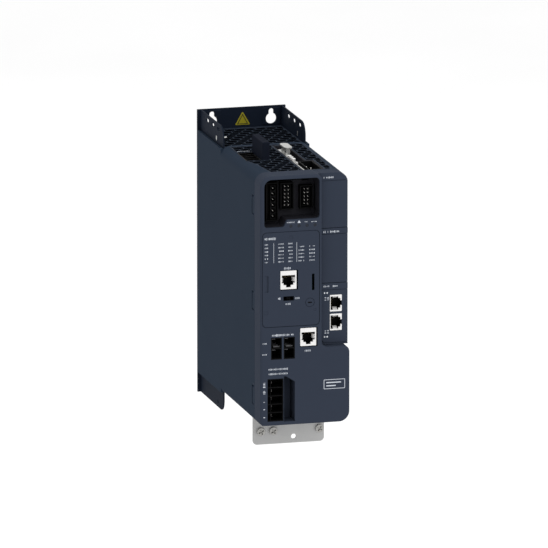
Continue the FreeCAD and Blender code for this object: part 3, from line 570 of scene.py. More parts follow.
# ---------------------------------------------------------------- geometry node trees
class Repeat:
    """A geometry node tree with named inputs, run on a host mesh and made plain.

    Attributes:
        tree: The node tree.
    """

    def __init__(self, name: str, inputs: dict[str, str]) -> None:
        """Starts a tree.

        Args:
            name: The tree's name.
            inputs: Socket types by input name, without their common prefix.
        """
        self.tree = bpy.data.node_groups.new(name, "GeometryNodeTree")
        face = self.tree.interface
        face.new_socket("Geometry", in_out="INPUT", socket_type="NodeSocketGeometry")
        for key, kind in inputs.items():
            face.new_socket(key, in_out="INPUT", socket_type=f"NodeSocket{kind}")
        face.new_socket("Geometry", in_out="OUTPUT", socket_type="NodeSocketGeometry")
        self.given = add_node(self.tree, "NodeGroupInput").outputs
        template = add_node(self.tree, "GeometryNodeObjectInfo", {"As Instance": False},
                            {"Object": self.given["Template"]}) if "Template" in inputs else None
        self.template = template.outputs["Geometry"] if template else None

    def add(self, kind: str, settings: dict | None = None, links: dict | None = None) -> Node:
        """Adds a geometry or function node to the tree."""
        return add_node(self.tree, kind, settings, links)

    def line(self, count: str, offset: str | None = None, start: str | None = None) -> Socket:
        """Adds a row of points.

        Args:
            count: Name of the input with the number of points.
            offset: Name of the input with the step; without it all the points coincide.
            start: Name of the input with the first point; the origin without it.

        Returns:
            The row as a mesh.
        """
        named = {"Count": count, "Offset": offset, "Start Location": start}
        settings = {"mode": "OFFSET"} if offset else {"mode": "OFFSET", "Offset": (0.0, 0.0, 0.0)}
        links = {key: self.given[name] for key, name in named.items() if name}
        return self.add("GeometryNodeMeshLine", settings, links).outputs["Mesh"]

    def copies(self, points: Socket, instance: Socket,
               links: dict | None = None) -> Socket:
        """Adds a copy of an instance at every point."""
        links = {"Points": points, "Instance": instance, **(links or {})}
        return self.add("GeometryNodeInstanceOnPoints", links=links).outputs["Instances"]

    def real(self, instances: Socket) -> Socket:
        """Makes instances real."""
        real = self.add("GeometryNodeRealizeInstances", links={"Geometry": instances})
        return real.outputs["Geometry"]

    def close(self, instances: Socket) -> None:
        """Ends the tree: instances are made real and given the material."""
        dressed = self.add("GeometryNodeSetMaterial",
                           links={"Geometry": self.real(instances), "Material": self.given["Material"]})
        self.add("NodeGroupOutput", links={"Geometry": dressed.outputs["Geometry"]})

    def run(self, name: str, finish: Finish, values: dict) -> Thing:
        """Runs the tree and returns its result as a plain object.

        Args:
            name: The object's name.
            finish: Its material.
            values: Input values by name.

        Returns:
            The plain object. A template object that was used is removed.
        """
        mesh = bpy.data.meshes.new(name)
        mesh.from_pydata([(0, 0, 0)], [], [])
        host = linked(name, mesh)
        modifier = host.modifiers.new("repeat", "NODES")
        modifier.node_group = self.tree
        values = {"Material": finish.build(), **values}
        for item in self.tree.interface.items_tree:
            if item.in_out == "INPUT" and item.name in values:
                modifier[item.identifier] = values[item.name]
        result = applied(host)
        if isinstance(values.get("Template"), Thing):
            bpy.data.objects.remove(values["Template"])
        return result


def lattice_tree() -> Repeat:
    """Copies a template over rows and columns of points."""
    repeat = Repeat("rows_and_columns", {"Template": "Object", "Columns": "Int", "Rows": "Int",
                                         "Column Step": "Vector", "Row Step": "Vector",
                                         "Material": "Material"})
    grid = repeat.copies(repeat.line("Columns", "Column Step"), repeat.line("Rows", "Row Step"))
    repeat.close(repeat.copies(repeat.real(grid), repeat.template))
    return repeat


def ring_tree() -> Repeat:
    """Copies a template, drawn about the origin, evenly round an axis through a centre."""
    repeat = Repeat("round_an_axis", {"Template": "Object", "Count": "Int", "Centre": "Vector",
                                      "Axis": "Vector", "Material": "Material"})
    points = repeat.line("Count", start="Centre")
    index = repeat.add("GeometryNodeInputIndex").outputs["Index"]
    share = repeat.add("ShaderNodeMath", {"operation": "DIVIDE"}, {0: index, 1: repeat.given["Count"]})
    angle = repeat.add("ShaderNodeMath", {"operation": "MULTIPLY", 1: math.tau},
                       {0: share.outputs["Value"]})
    spin = repeat.add("FunctionNodeAxisAngleToRotation",
                      links={"Axis": repeat.given["Axis"], "Angle": angle.outputs["Value"]})
    repeat.close(repeat.copies(points, repeat.template, {"Rotation": spin.outputs["Rotation"]}))
    return repeat


def dash_tree() -> Repeat:
    """Prints lines of short strokes of random size with random word gaps."""
    repeat = Repeat("printed_strokes", {"Strokes": "Int", "Lines": "Int", "Stroke Step": "Vector",
                                        "Line Step": "Vector", "Start": "Vector",
                                        "Smallest": "Vector", "Largest": "Vector", "Gaps": "Float",
                                        "Seed": "Int", "Material": "Material"})
    given = repeat.given
    block = repeat.copies(repeat.line("Lines", "Line Step", "Start"),
                          repeat.line("Strokes", "Stroke Step"))
    gap = repeat.add("FunctionNodeRandomValue", {"data_type": "BOOLEAN"},
                     {"Probability": given["Gaps"], "Seed": given["Seed"]})
    kept = repeat.add("GeometryNodeDeleteGeometry",
                      links={"Geometry": repeat.real(block), "Selection": gap.outputs[3]})
    size = repeat.add("FunctionNodeRandomValue", {"data_type": "FLOAT_VECTOR"},
                      {0: given["Smallest"], 1: given["Largest"], "Seed": given["Seed"]})
    stroke = repeat.add("GeometryNodeMeshCube", {"Size": (1.0, 1.0, 1.0)})
    repeat.close(repeat.copies(kept.outputs["Geometry"], stroke.outputs["Mesh"],
                               {"Scale": size.outputs[0]}))
    return repeat


LATTICE, RING, DASHES = lattice_tree(), ring_tree(), dash_tree()
ONCE = (1, (0, 0, 0))


def arrayed(name: str, finish: Finish, template: Thing,
            columns: tuple[int, Sequence[float]] = ONCE, rows: tuple[int, Sequence[float]] = ONCE
            ) -> Thing:
    """Repeats a template in columns and rows.

    Args:
        name: The object's name.
        finish: Its material.
        template: The object to repeat, which is removed.
        columns: How many there are, and the step between them in millimetres.
        rows: The same for the rows.

    Returns:
        The plain object.
    """
    return LATTICE.run(name, finish, {"Template": template, "Columns": columns[0], "Rows": rows[0],
                                      "Column Step": Vector(columns[1]) * MM,
                                      "Row Step": Vector(rows[1]) * MM})


def ringed(name: str, finish: Finish, template: Thing, count: int, centre: Vector,
           axis: Triple) -> Thing:
    """Repeats a template, which is removed, round an axis through a centre in millimetres."""
    return RING.run(name, finish, {"Template": template, "Count": count, "Centre": centre * MM,
                                   "Axis": Vector(axis)})


class Run(Enum):
    """Which way a printed line reads, and the face that it is printed on."""

    ACROSS_FRONT = ((1, 0, 0), (0, 0, -1), (0, 1, 0))
    UP_FRONT = ((0, 0, 1), (1, 0, 0), (0, 1, 0))
    ACROSS_TOP = ((1, 0, 0), (0, -1, 0), (0, 0, 1))


@dataclass(frozen=True)
class Legend:
    """A block of generic printed strokes that stands where a legend would be.

    Attributes:
        start: Middle of the first stroke.
        width: Length of a line.
        height: Height of the strokes.
        lines: Number of lines.
        pitch: Distance between lines.
        seed: Seed of the random sizes and gaps.
        run: Direction and face.
        gaps: Share of strokes left out.
    """

    start: Triple
    width: float
    height: float = 1.2
    lines: int = 1
    pitch: float = 3.35
    seed: int = 1
    run: Run = Run.ACROSS_FRONT
    gaps: float = 0.12
    STROKE_STEP: ClassVar[tuple[float, float]] = (0.8, 0.25)      # plain part, part per height
    SMALLEST: ClassVar[Point] = (0.24, 0.6)                       # shares of step and height
    LARGEST: ClassVar[Point] = (0.66, 1.1)

    def print(self, name: str) -> Thing:
        """Makes the strokes.

        Args:
            name: The object's name.

        Returns:
            The object, not yet riding on a body.
        """
        along, down, out = (Vector(v) for v in self.run.value)
        step = self.STROKE_STEP[0] + self.STROKE_STEP[1] * self.height
        small, large = ([abs(a) * step * wide + abs(d) * self.height * high + o * 2 * INK_RISE
                         for a, d, o in zip(along, down, out)]
                        for wide, high in (self.SMALLEST, self.LARGEST))
        return DASHES.run(name, PRINT_INK, {
            "Strokes": max(int(self.width / step), 1), "Lines": self.lines,
            "Stroke Step": along * step * MM, "Line Step": down * self.pitch * MM,
            "Start": Vector(self.start) * MM, "Smallest": Vector(small) * MM,
            "Largest": Vector(large) * MM, "Gaps": self.gaps, "Seed": self.seed})


# ---------------------------------------------------------------- assemblies
def joined(name: str, things: Sequence[Thing]) -> Thing:
    """Joins plain objects of one material into one object."""
    bm = bmesh.new()
    for thing in things:
        bm.from_mesh(thing.data)
    mesh = bpy.data.meshes.new(name)
    bm.to_mesh(mesh)
    bm.free()
    for thing in things:
        bpy.data.objects.remove(thing)
    return linked(name, mesh)


class Assembly:
    """A sub-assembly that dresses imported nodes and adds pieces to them.

    Attributes:
        softened: Finish, edge radius and, if not two, facets across the edge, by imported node.
        dressed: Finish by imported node, for the nodes whose shape stays as it is.
    """

    softened: ClassVar[dict[str, tuple]] = {}
    dressed: ClassVar[dict[str, Finish]] = {}

    def dress(self, node: str, finish: Finish) -> None:
        """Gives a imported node, whose shape stays as it is, its material."""
        thing = frame["nodes"][node]
        if not thing.material_slots:
            thing.data.materials.append(finish.build())
        for slot in thing.material_slots:
            slot.material = finish.build()
        log.info("dressed %s in %s", node, finish.name)

    def place(self, thing: Thing, finish: Finish, body: str, *replaced: str) -> Thing:
        """Dresses a new piece and lets it ride on its body.

        Args:
            thing: The piece, at the origin.
            finish: Its material.
            body: The body that it moves with.
            replaced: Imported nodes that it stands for.

        Returns:
            The piece.
        """
        thing.data.materials.clear()
        thing.data.materials.append(finish.build())
        for face in thing.data.polygons:
            face.material_index = 0
        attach(thing, body)
        if replaced:
            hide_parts(*replaced)
        log.info("placed %s on %s: %d faces", thing.name, body, len(thing.data.polygons))
        return thing

    def soften(self, node: str, finish: Finish, radius: float, steps: int = 2) -> Thing:
        """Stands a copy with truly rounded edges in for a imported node.

        Args:
            node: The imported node.
            finish: Its material.
            radius: Edge radius in millimetres.
            steps: Facets across each rounded edge.

        Returns:
            The piece.
        """
        bm = bmesh.new()
        bm.from_mesh(frame["nodes"][node].data)
        bmesh.ops.remove_doubles(bm, verts=bm.verts, dist=SAME_POINT * MM)
        bmesh.ops.dissolve_limit(bm, angle_limit=math.radians(SAME_FACE), verts=bm.verts, edges=bm.edges)
        mesh = bpy.data.meshes.new(f"{node}_shape")
        bm.to_mesh(mesh)
        bm.free()
        thing = rounded_edges(linked(f"{node}_shape", mesh), radius, steps)
        return self.place(thing, finish, BODY_OF[node], node)

    def detail(self) -> None:
        """Adds the pieces that are too fine for the frame, where there are any."""

    def build(self) -> None:
        """Makes and dresses the sub-assembly."""
        for node, look in self.softened.items():
            self.soften(node, *look)
        for node, finish in self.dressed.items():
            self.dress(node, finish)
        self.detail()


def alike(look: Finish | tuple, *nodes: str) -> dict:
    """Gives several nodes the same look."""
    return dict.fromkeys(nodes, look)


@dataclass
class Chassis(Assembly):
    """Back plate, flanges, locating pins and the blank warning triangle."""

    softened: ClassVar = {**alike((POWDER_STEEL, 0.3), "back_plate", "flange_left", "flange_right"),
                          "ear_pins": (BRIGHT_ZINC, 0.2)}
    dressed: ClassVar = {"warning_triangle": YELLOW_FILM}
    film_border: float = 0.7
    film_line: float = 0.7
    side_inset: float = 1.9
    tip_inset: float = 2.1

    def detail(self) -> None:
        """Prints the border of the triangle."""
        film = Span.of("warning_triangle")
        across, down = self.side_inset, self.tip_inset
        rings = [[(film.low.x + across * m, film.low.z + m), (film.high.x - across * m, film.low.z + m),
                  (film.centre.x, film.high.z - down * m)]
                 for m in (self.film_border, self.film_border + self.film_line)]
        line = Solid().tube(rings[0], rings[1], (film.front - INK_RISE, film.front + 0.1), facing_front)
        self.place(line.object("warning_border"), DARK_FILM, "root")


@dataclass
class Housing(Assembly):
    """Side shells, grilles, fin, front cover and tray."""

    softened: ClassVar = {**alike((HOUSING_PC, 0.4), "housing_left", "housing_right"),
                          "insulating_fin": (FIN_PC_SHADED, 0.4),
                          **alike((GRILLE_PC, 0.1, 1), "top_grille", "rear_grille"),
                          "front_cover": (FRONT_PC_LIT, 0.4), "terminal_tray": (TRAY_PBT, 0.3)}
    dressed: ClassVar = alike(HOUSING_PC, "bottom_grille", "fan_guard")


@dataclass
class ControlPanel(Assembly):
    """Panel door with its lock, selector switch and status lights."""

    softened: ClassVar = {"panel_door": (FRONT_PC_LIT, 0.3), "quarter_turn_lock": (FRONT_PC_LIT, 0.25),
                          **alike((CONNECTOR_PA, 0.2), "selector_body", "selector_slider")}
    dressed: ClassVar = {"status_lights": LIGHT_PIPE_PC}
    shade_insert_half: Point = (1.88, 0.63)
    shade_insert_depths: Point = (0.5, 1.48)

    def detail(self) -> None:
        """Puts a black block into the lock's slot as painted shade."""
        lock = Span.of("quarter_turn_lock")
        (u, v), (near, far) = self.shade_insert_half, self.shade_insert_depths
        x, z = lock.centre.x, lock.centre.z
        shade_insert = Solid().block((x - u, lock.front + near, z - v), (x + u, lock.front + far, z + v))
        self.place(shade_insert.object("quarter_turn_insert"), CONNECTOR_PA, BODY_OF["quarter_turn_lock"])


@dataclass
class ModularJack(Assembly):
    """Shielded eight-way jack with spring contacts.

    Attributes:
        node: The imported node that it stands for.
        turned: True where the latch notch points to the right instead of down.
        pitch: Distance between contact springs.
        depth: Depth of the mouth.
        HALF_MOUTH: Outline (u, v) of the mouth's right half, from its foot up.
        BEND: Path (w, v) of a contact spring.
    """

    node: str
    turned: bool = False
    pitch: float = 1.02
    depth: float = 12.3
    turned_shift: float = 0.5
    liner_start: float = 1.4
    liner_wall: float = 0.25
    liner_floor: float = 0.6
    finger_root: float = 6.15
    finger_bulge: float = 1.9
    finger_reach: float = 8.4
    HALF_MOUTH: ClassVar = [(2.2, -6.9), (2.2, -4.8), (4.6, -4.8), (4.6, -2.8), (6.3, -2.8), (6.3, 4.4)]
    BEND: ClassVar = [(3.5, 3.9), (4.0, 3.5), (5.6, 2.6), (7.8, 1.3), (9.4, 0.5), (10.8, 0.3)]
    WAYS: ClassVar = 8
    ARC: ClassVar = 6

    @cached_property
    def box(self) -> Span:
        """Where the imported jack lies."""
        return Span.of(self.node)

    def lay(self, u: float, v: float, w: float) -> Triple:
        """Places a point of the upright jack, measured from the middle of its face."""
        x, z = (-v - self.turned_shift, u) if self.turned else (u, v)
        return self.box.centre.x + x, self.box.front + w, self.box.centre.z + z

    def liner(self, body: str) -> None:
        """Makes the black lining of the mouth: partly the jack's black plastic body, partly painted
        shade deep in the mouth.
        """
        outline = self.HALF_MOUTH + [(-u, v) for u, v in reversed(self.HALF_MOUTH)]
        inner = [(u * 0.955, v - math.copysign(self.liner_wall, v)) for u, v in outline]
        sleeve = Solid().tube([(u * 0.995, v * 0.995) for u, v in outline], inner,
                              (self.liner_start, self.depth), self.lay)
        sleeve.prism([(u * 0.99, v * 0.99) for u, v in outline],
                     (self.depth - self.liner_floor, self.depth), self.lay)
        self.place(sleeve.object(f"{self.node}_insert"), CONNECTOR_PA, body)

    def springs(self, body: str) -> None:
        """Makes the contact springs."""
        first = (self.WAYS - 1) / 2 * self.pitch
        spring = Solid().strip(self.BEND, 0.22, (-0.23, 0.23), lambda w, v, u: self.lay(u - first, v, w))
        step = Vector(self.lay(self.pitch, 0, 0)) - Vector(self.lay(0, 0, 0))
        springs = arrayed(f"{self.node}_springs", GOLD_FLASH, spring.object("spring"), (self.WAYS, step))
        self.place(springs, GOLD_FLASH, body)

    def fingers(self, body: str) -> None:
        """Makes the shield's spring finger on each side."""
        fingers = Solid()
        for side in (-1, 1):
            arc = [(side * (self.finger_root - self.finger_bulge * math.sin(math.pi * t / self.ARC)),
                    0.3 + self.finger_reach * t / self.ARC) for t in range(self.ARC + 1)]
            fingers.strip(arc, 0.25, (-1.9, 2.2), lambda u, w, v: self.lay(u, v, w))
        self.place(rounded_edges(fingers.object(f"{self.node}_fingers"), 0.06), NICKEL_SHELL, body)

    def detail(self) -> None:
        """Makes and dresses the jack."""
        body = BODY_OF[self.node]
        self.soften(self.node, NICKEL_SHELL, 0.2)
        for make in (self.liner, self.springs, self.fingers):
            make(body)


@dataclass
class OptionColumn(Assembly):
    """Bezel, blanking covers and the communication module."""

    softened: ClassVar = {"option_bezel": (FRONT_PC_LIT, 0.35),
                          **alike((FRONT_PC_LIT, 0.3), "blank_cover_upper", "blank_cover_lower",
                                  "comm_case")}
    dressed: ClassVar = {"comm_lights": CLEAR_PIPE_PC, "comm_board": GREEN_LAMINATE}

    def detail(self) -> None:
        """Makes the module's jacks."""
        for node in ("comm_jack_upper", "comm_jack_lower"):
            ModularJack(node, turned=True).build()


@dataclass(frozen=True)
class HeaderLayout:
    """Contacts of one signal header, measured from the header's own box.

    Attributes:
        node: The header.
        column: First column, from the left side.
        column_step: Distance between columns.
        columns: Number of columns.
        top: First row, below the top.
        bottom: Last row, above the bottom.
        rows: Number of rows.
    """

    node: str
    column: float
    column_step: float
    columns: int
    top: float
    bottom: float
    rows: int


@dataclass
class SignalTerminals(Assembly):
    """Headers in the upper recess, with their chambers and contact pins."""

    softened: ClassVar = alike((CONNECTOR_PA, 0.2), "relay_header", "io_header_left", "io_header_right")
    layouts: Sequence[HeaderLayout] = (
        HeaderLayout("relay_header", 6.7, 1.0, 1, 5.4, 4.2, 6),
        HeaderLayout("io_header_left", 4.4, 3.4, 2, 3.6, 4.0, 6),
        HeaderLayout("io_header_right", 4.6, 3.2, 2, 3.6, 4.4, 5))
    pin_half: float = 0.42
    wall: float = 0.35
    overlap: float = 0.02

    def contacts(self, layout: HeaderLayout) -> list[Thing]:
        """Makes the pins of one header and the chamber frames round them.

        Args:
            layout: Where the contacts stand.

        Returns:
            The pins and the chamber frames.
        """
        box, tray = Span.of(layout.node), Span.of("header_pins")
        first = Vector((box.low.x + layout.column, 0, box.high.z - layout.top))
        row_step = (box.size.z - layout.top - layout.bottom) / (layout.rows - 1)
        grid = ((layout.columns, (layout.column_step, 0, 0)), (layout.rows, (0, 0, -row_step)))
        half, tip = self.pin_half, tray.front
        rings = [rounded_outline((-s, -s), (s, s), s * 0.3, 1) for s in (half, half, half * 0.45)]
        pin = Solid().loft([[(first.x + u, y, first.z + v) for u, v in ring]
                            for ring, y in zip(rings, (tray.high.y, tip + 0.6, tip))])
        pins = arrayed(f"{layout.node}_pins", TINNED_BRASS, pin.object("pin"), *grid)
        single = layout.columns == 1
        high = row_step / 2 + self.overlap
        wide = high if single else layout.column_step / 2 + self.overlap
        u, v = wide - self.wall, high - self.wall
        outer = rounded_outline((-wide, -high), (wide, high), 0.2, 3)
        hole = rounded_outline((-u, -v), (u, v), min(u, v) * (0.98 if single else 0.45), 3)
        ring = Solid().tube(outer, hole, (box.front + 0.9, box.high.y - 1.0),
                            lambda u, v, w: (first.x + u, w, first.z + v))
        return [pins, arrayed(f"{layout.node}_chambers", CONNECTOR_PA, ring.object("ring"), *grid)]

    def detail(self) -> None:
        """Makes the contacts of every header."""
        pins, chambers = zip(*(self.contacts(layout) for layout in self.layouts))
        self.place(joined("signal_header_pins", pins), TINNED_BRASS, "root", "header_pins")
        self.place(joined("signal_header_chambers", chambers), CONNECTOR_PA, "root")


@dataclass
class PowerTerminals(Assembly):
    """DC link, motor and mains sockets with their contacts."""

    softened: ClassVar = {**alike((CONNECTOR_PA, 0.25), "motor_header", "mains_header",
                                  "dc_socket_left", "dc_socket_right"),
                          "dc_contacts": (DULL_TIN, 0.12)}
    motor_ways: int = 5
    mains_ways: int = 4

    def motor_contacts(self) -> Thing:
        """Makes the blades of the motor socket."""
        box, old = Span.of("motor_header"), Span.of("motor_blades")
        pitch = (box.size.z - 1.0) / self.motor_ways
        z = box.low.z + 0.55 + pitch / 2
        rings = [rounded_outline((old.low.x + e, z - 1.4 + e), (old.high.x - e, z + 1.4 - e), 0.15, 2)
                 for e in (0.0, 0.0, 0.22)]
        blade = Solid().loft([[(u, y, v) for u, v in ring]
                              for ring, y in zip(rings, (old.high.y, old.front + 0.8, old.front))])
        return arrayed("motor_socket_blades", TINNED_BRASS, blade.object("blade"),
                       rows=(self.motor_ways, (0, 0, pitch)))

    def mains_contacts(self) -> Thing:
        """Makes the blades of the mains socket."""
        box, old = Span.of("mains_header"), Span.of("mains_blades")
        pitch = (box.size.y - 1.0) / self.mains_ways
        y = box.high.y - 0.5 - pitch / 2
        rings = [rounded_outline((old.low.x + e, y - 0.4 + e / 2),
                                 (old.high.x - e, y + 0.4 - e / 2), 0.12, 2) for e in (0.0, 0.0, 0.4)]
        blade = Solid().loft([[(u, v, z) for u, v in ring]
                              for ring, z in zip(rings, (old.low.z, old.high.z - 1.2, old.high.z))])
        return arrayed("mains_socket_blades", TINNED_BRASS, blade.object("blade"),
                       rows=(self.mains_ways, (0, -pitch, 0)))

    def dc_catches(self) -> Thing:
        """Makes the small metal catch in the corner of each DC chamber."""
        left, right = Span.of("dc_socket_left"), Span.of("dc_socket_right")
        start = Vector((left.low.x + 0.9, left.front + 0.8, left.high.z - 1.5))
        catch = Solid().block(start, start + Vector((3.4, 3.0, 0.25)))
        return arrayed("dc_socket_catches", DULL_TIN, catch.object("catch"),
                       (2, (right.low.x - left.low.x, 0, 0)), (2, (0, 0, -left.size.z / 2)))

    def detail(self) -> None:
        """Makes the contacts."""
        self.place(self.motor_contacts(), TINNED_BRASS, "root", "motor_blades")
        self.place(self.mains_contacts(), TINNED_BRASS, "root", "mains_blades")
        self.place(self.dc_catches(), DULL_TIN, "root")


@dataclass
class ShieldPlate(Assembly):
    """Cable shield plate under the drive, with its screws."""

    softened: ClassVar = {"shield_plate": (ZINC_SHEET, 0.3), "shield_plate_screws": (SCREW_ZINC, 0.5, 3)}
    dressed: ClassVar = {"shield_shelf": ZINC_SHEET, "shelf_screws": SCREW_ZINC}


@dataclass
class ShieldClamp(Assembly):
    """Trough in the top with the shield rail, its saddle, screws and signal socket."""

    softened: ClassVar = {"clamp_trough": (TRAY_PBT, 0.25), "shield_rail": (BRIGHT_ZINC, 0.25),
                          "signal_socket": (CONNECTOR_PA, 0.2), "shield_screws": (NICKEL_SHELL, 0.3)}
    dressed: ClassVar = {"signal_pins": TINNED_BRASS}


@dataclass
class Cooling(Assembly):
    """Heatsink and fan."""

    softened: ClassVar = {"fan_frame": (CONNECTOR_PA, 0.3)}
    dressed: ClassVar = {"heatsink": EXTRUDED_ALU}
    blades: int = 7
    hub_radius: float = 12.5
    tip_radius: float = 27.4

    def blade(self) -> Thing:
        """Makes one cambered, twisted blade about the origin.

        Returns:
            The blade as a template object.
        """
        rotor = Span.of("fan_rotor")
        reach = rotor.size.z / 2 - 0.7
        spans, chords = 6, 7
        rings = []
        for i in range(spans):
            share = i / (spans - 1)
            radius = self.hub_radius - 0.6 + share * (self.tip_radius - self.hub_radius + 0.6)
            sweep = math.radians(14 * share)
            half_turn = math.radians(17 - 4 * share)
            upper, lower = [], []
            for j in range(chords):
                t = 2 * j / (chords - 1) - 1
                turn = sweep + half_turn * t
                height = -reach * t * (0.95 - 0.2 * share) + 1.1 * (1 - t * t)
                half = 0.55 * (1 - 0.75 * t * t)
                for side, points in ((1, upper), (-1, lower)):
                    points.append((radius * math.cos(turn), radius * math.sin(turn),
                                   height + side * half))
            rings.append(upper + list(reversed(lower)))
        return Solid().loft(rings).object("fan_blade", merge_mm=0.01)

    def detail(self) -> None:
        """Makes the impeller."""
        rotor = Span.of("fan_rotor")
        centre = Vector((rotor.centre.x, Span.of("fan_frame").centre.y, rotor.centre.z))
        blades = ringed("fan_blades", CONNECTOR_PA, self.blade(), self.blades, centre, (0, 0, 1))
        r, tall, bore = self.hub_radius, rotor.high.z - rotor.low.z, 2.0
        hub = Solid().lathe([(bore, 0), (r - 0.8, 0), (r, 0.8), (r, tall - 1.6), (r - 1.6, tall),
                             (3.0, tall), (2.6, tall - 0.3), (bore, tall - 0.3), (bore, 0)],
                            (centre.x, centre.y, rotor.low.z), "Z", 40)
        self.place(joined("fan_impeller", [blades, hub.object("fan_hub")]), CONNECTOR_PA, "fan_rotor",
                   "fan_rotor")


@dataclass
class Electronics(Assembly):
    """Boards and power parts inside the housing."""

    dressed: ClassVar = {**alike(GREEN_LAMINATE, "power_board", "control_board", "interface_board"),
                         **alike(EPOXY_CHIP, "power_module", "board_link", "relays"),
                         "filter_choke": LACQUERED_FERRITE, "board_spacers": SCREW_ZINC}
    can_radius: float = 13.5
    windings: int = 30

    def cans(self) -> None:
        """Makes the sleeved capacitors with their rolled rims."""
        box = Span.of("capacitors")
        r, long = self.can_radius, box.size.y
        start = (box.low.x + r, box.high.y, box.low.z + r)
        sleeve = Solid().lathe([(0, 0), (r - 0.6, 0), (r, 0.6), (r, 4.6), (r - 0.9, 5.3), (r - 0.9, 5.9),
                                (r, 6.6), (r, long - 0.8), (r - 0.7, long), (r - 2.4, long),
                                (r - 2.6, long - 0.5), (0, long - 0.5)], start, "Y", 32)
        cans = arrayed("capacitor_cans", SHRUNK_SLEEVE, sleeve.object("can"),
                       (2, (box.size.x - 2 * r, 0, 0)), (4, (0, 0, (box.size.z - 2 * r) / 3)))
        cans.data.shade_smooth()
        cans.data.set_sharp_from_angle(angle=math.radians(40))
        self.place(cans, SHRUNK_SLEEVE, "root", "capacitors")

    def winding(self) -> None:
        """Winds the choke."""
        box = Span.of("filter_choke")
        minor = box.size.y / 2
        major = box.size.x / 2 - minor
        wire = [(0.5 * math.cos(math.tau * k / 8), 0.5 * math.sin(math.tau * k / 8)) for k in range(8)]
        rings = []
        for i in range(17):
            turn, out = math.tau * i / 16, minor + 0.52
            rings.append([(major + (out + a) * math.cos(turn), (out + a) * math.sin(turn), b)
                          for a, b in wire])
        loop = Solid().loft(rings, capped=False).object("turn", merge_mm=0.01)
        wound = ringed("choke_winding", ENAMEL_COPPER, loop, self.windings, box.centre, (0, 1, 0))
        wound.data.shade_smooth()
        self.place(wound, ENAMEL_COPPER, "root")

    def detail(self) -> None:
        """Makes the wound and the canned parts."""
        self.cans()
        self.winding()


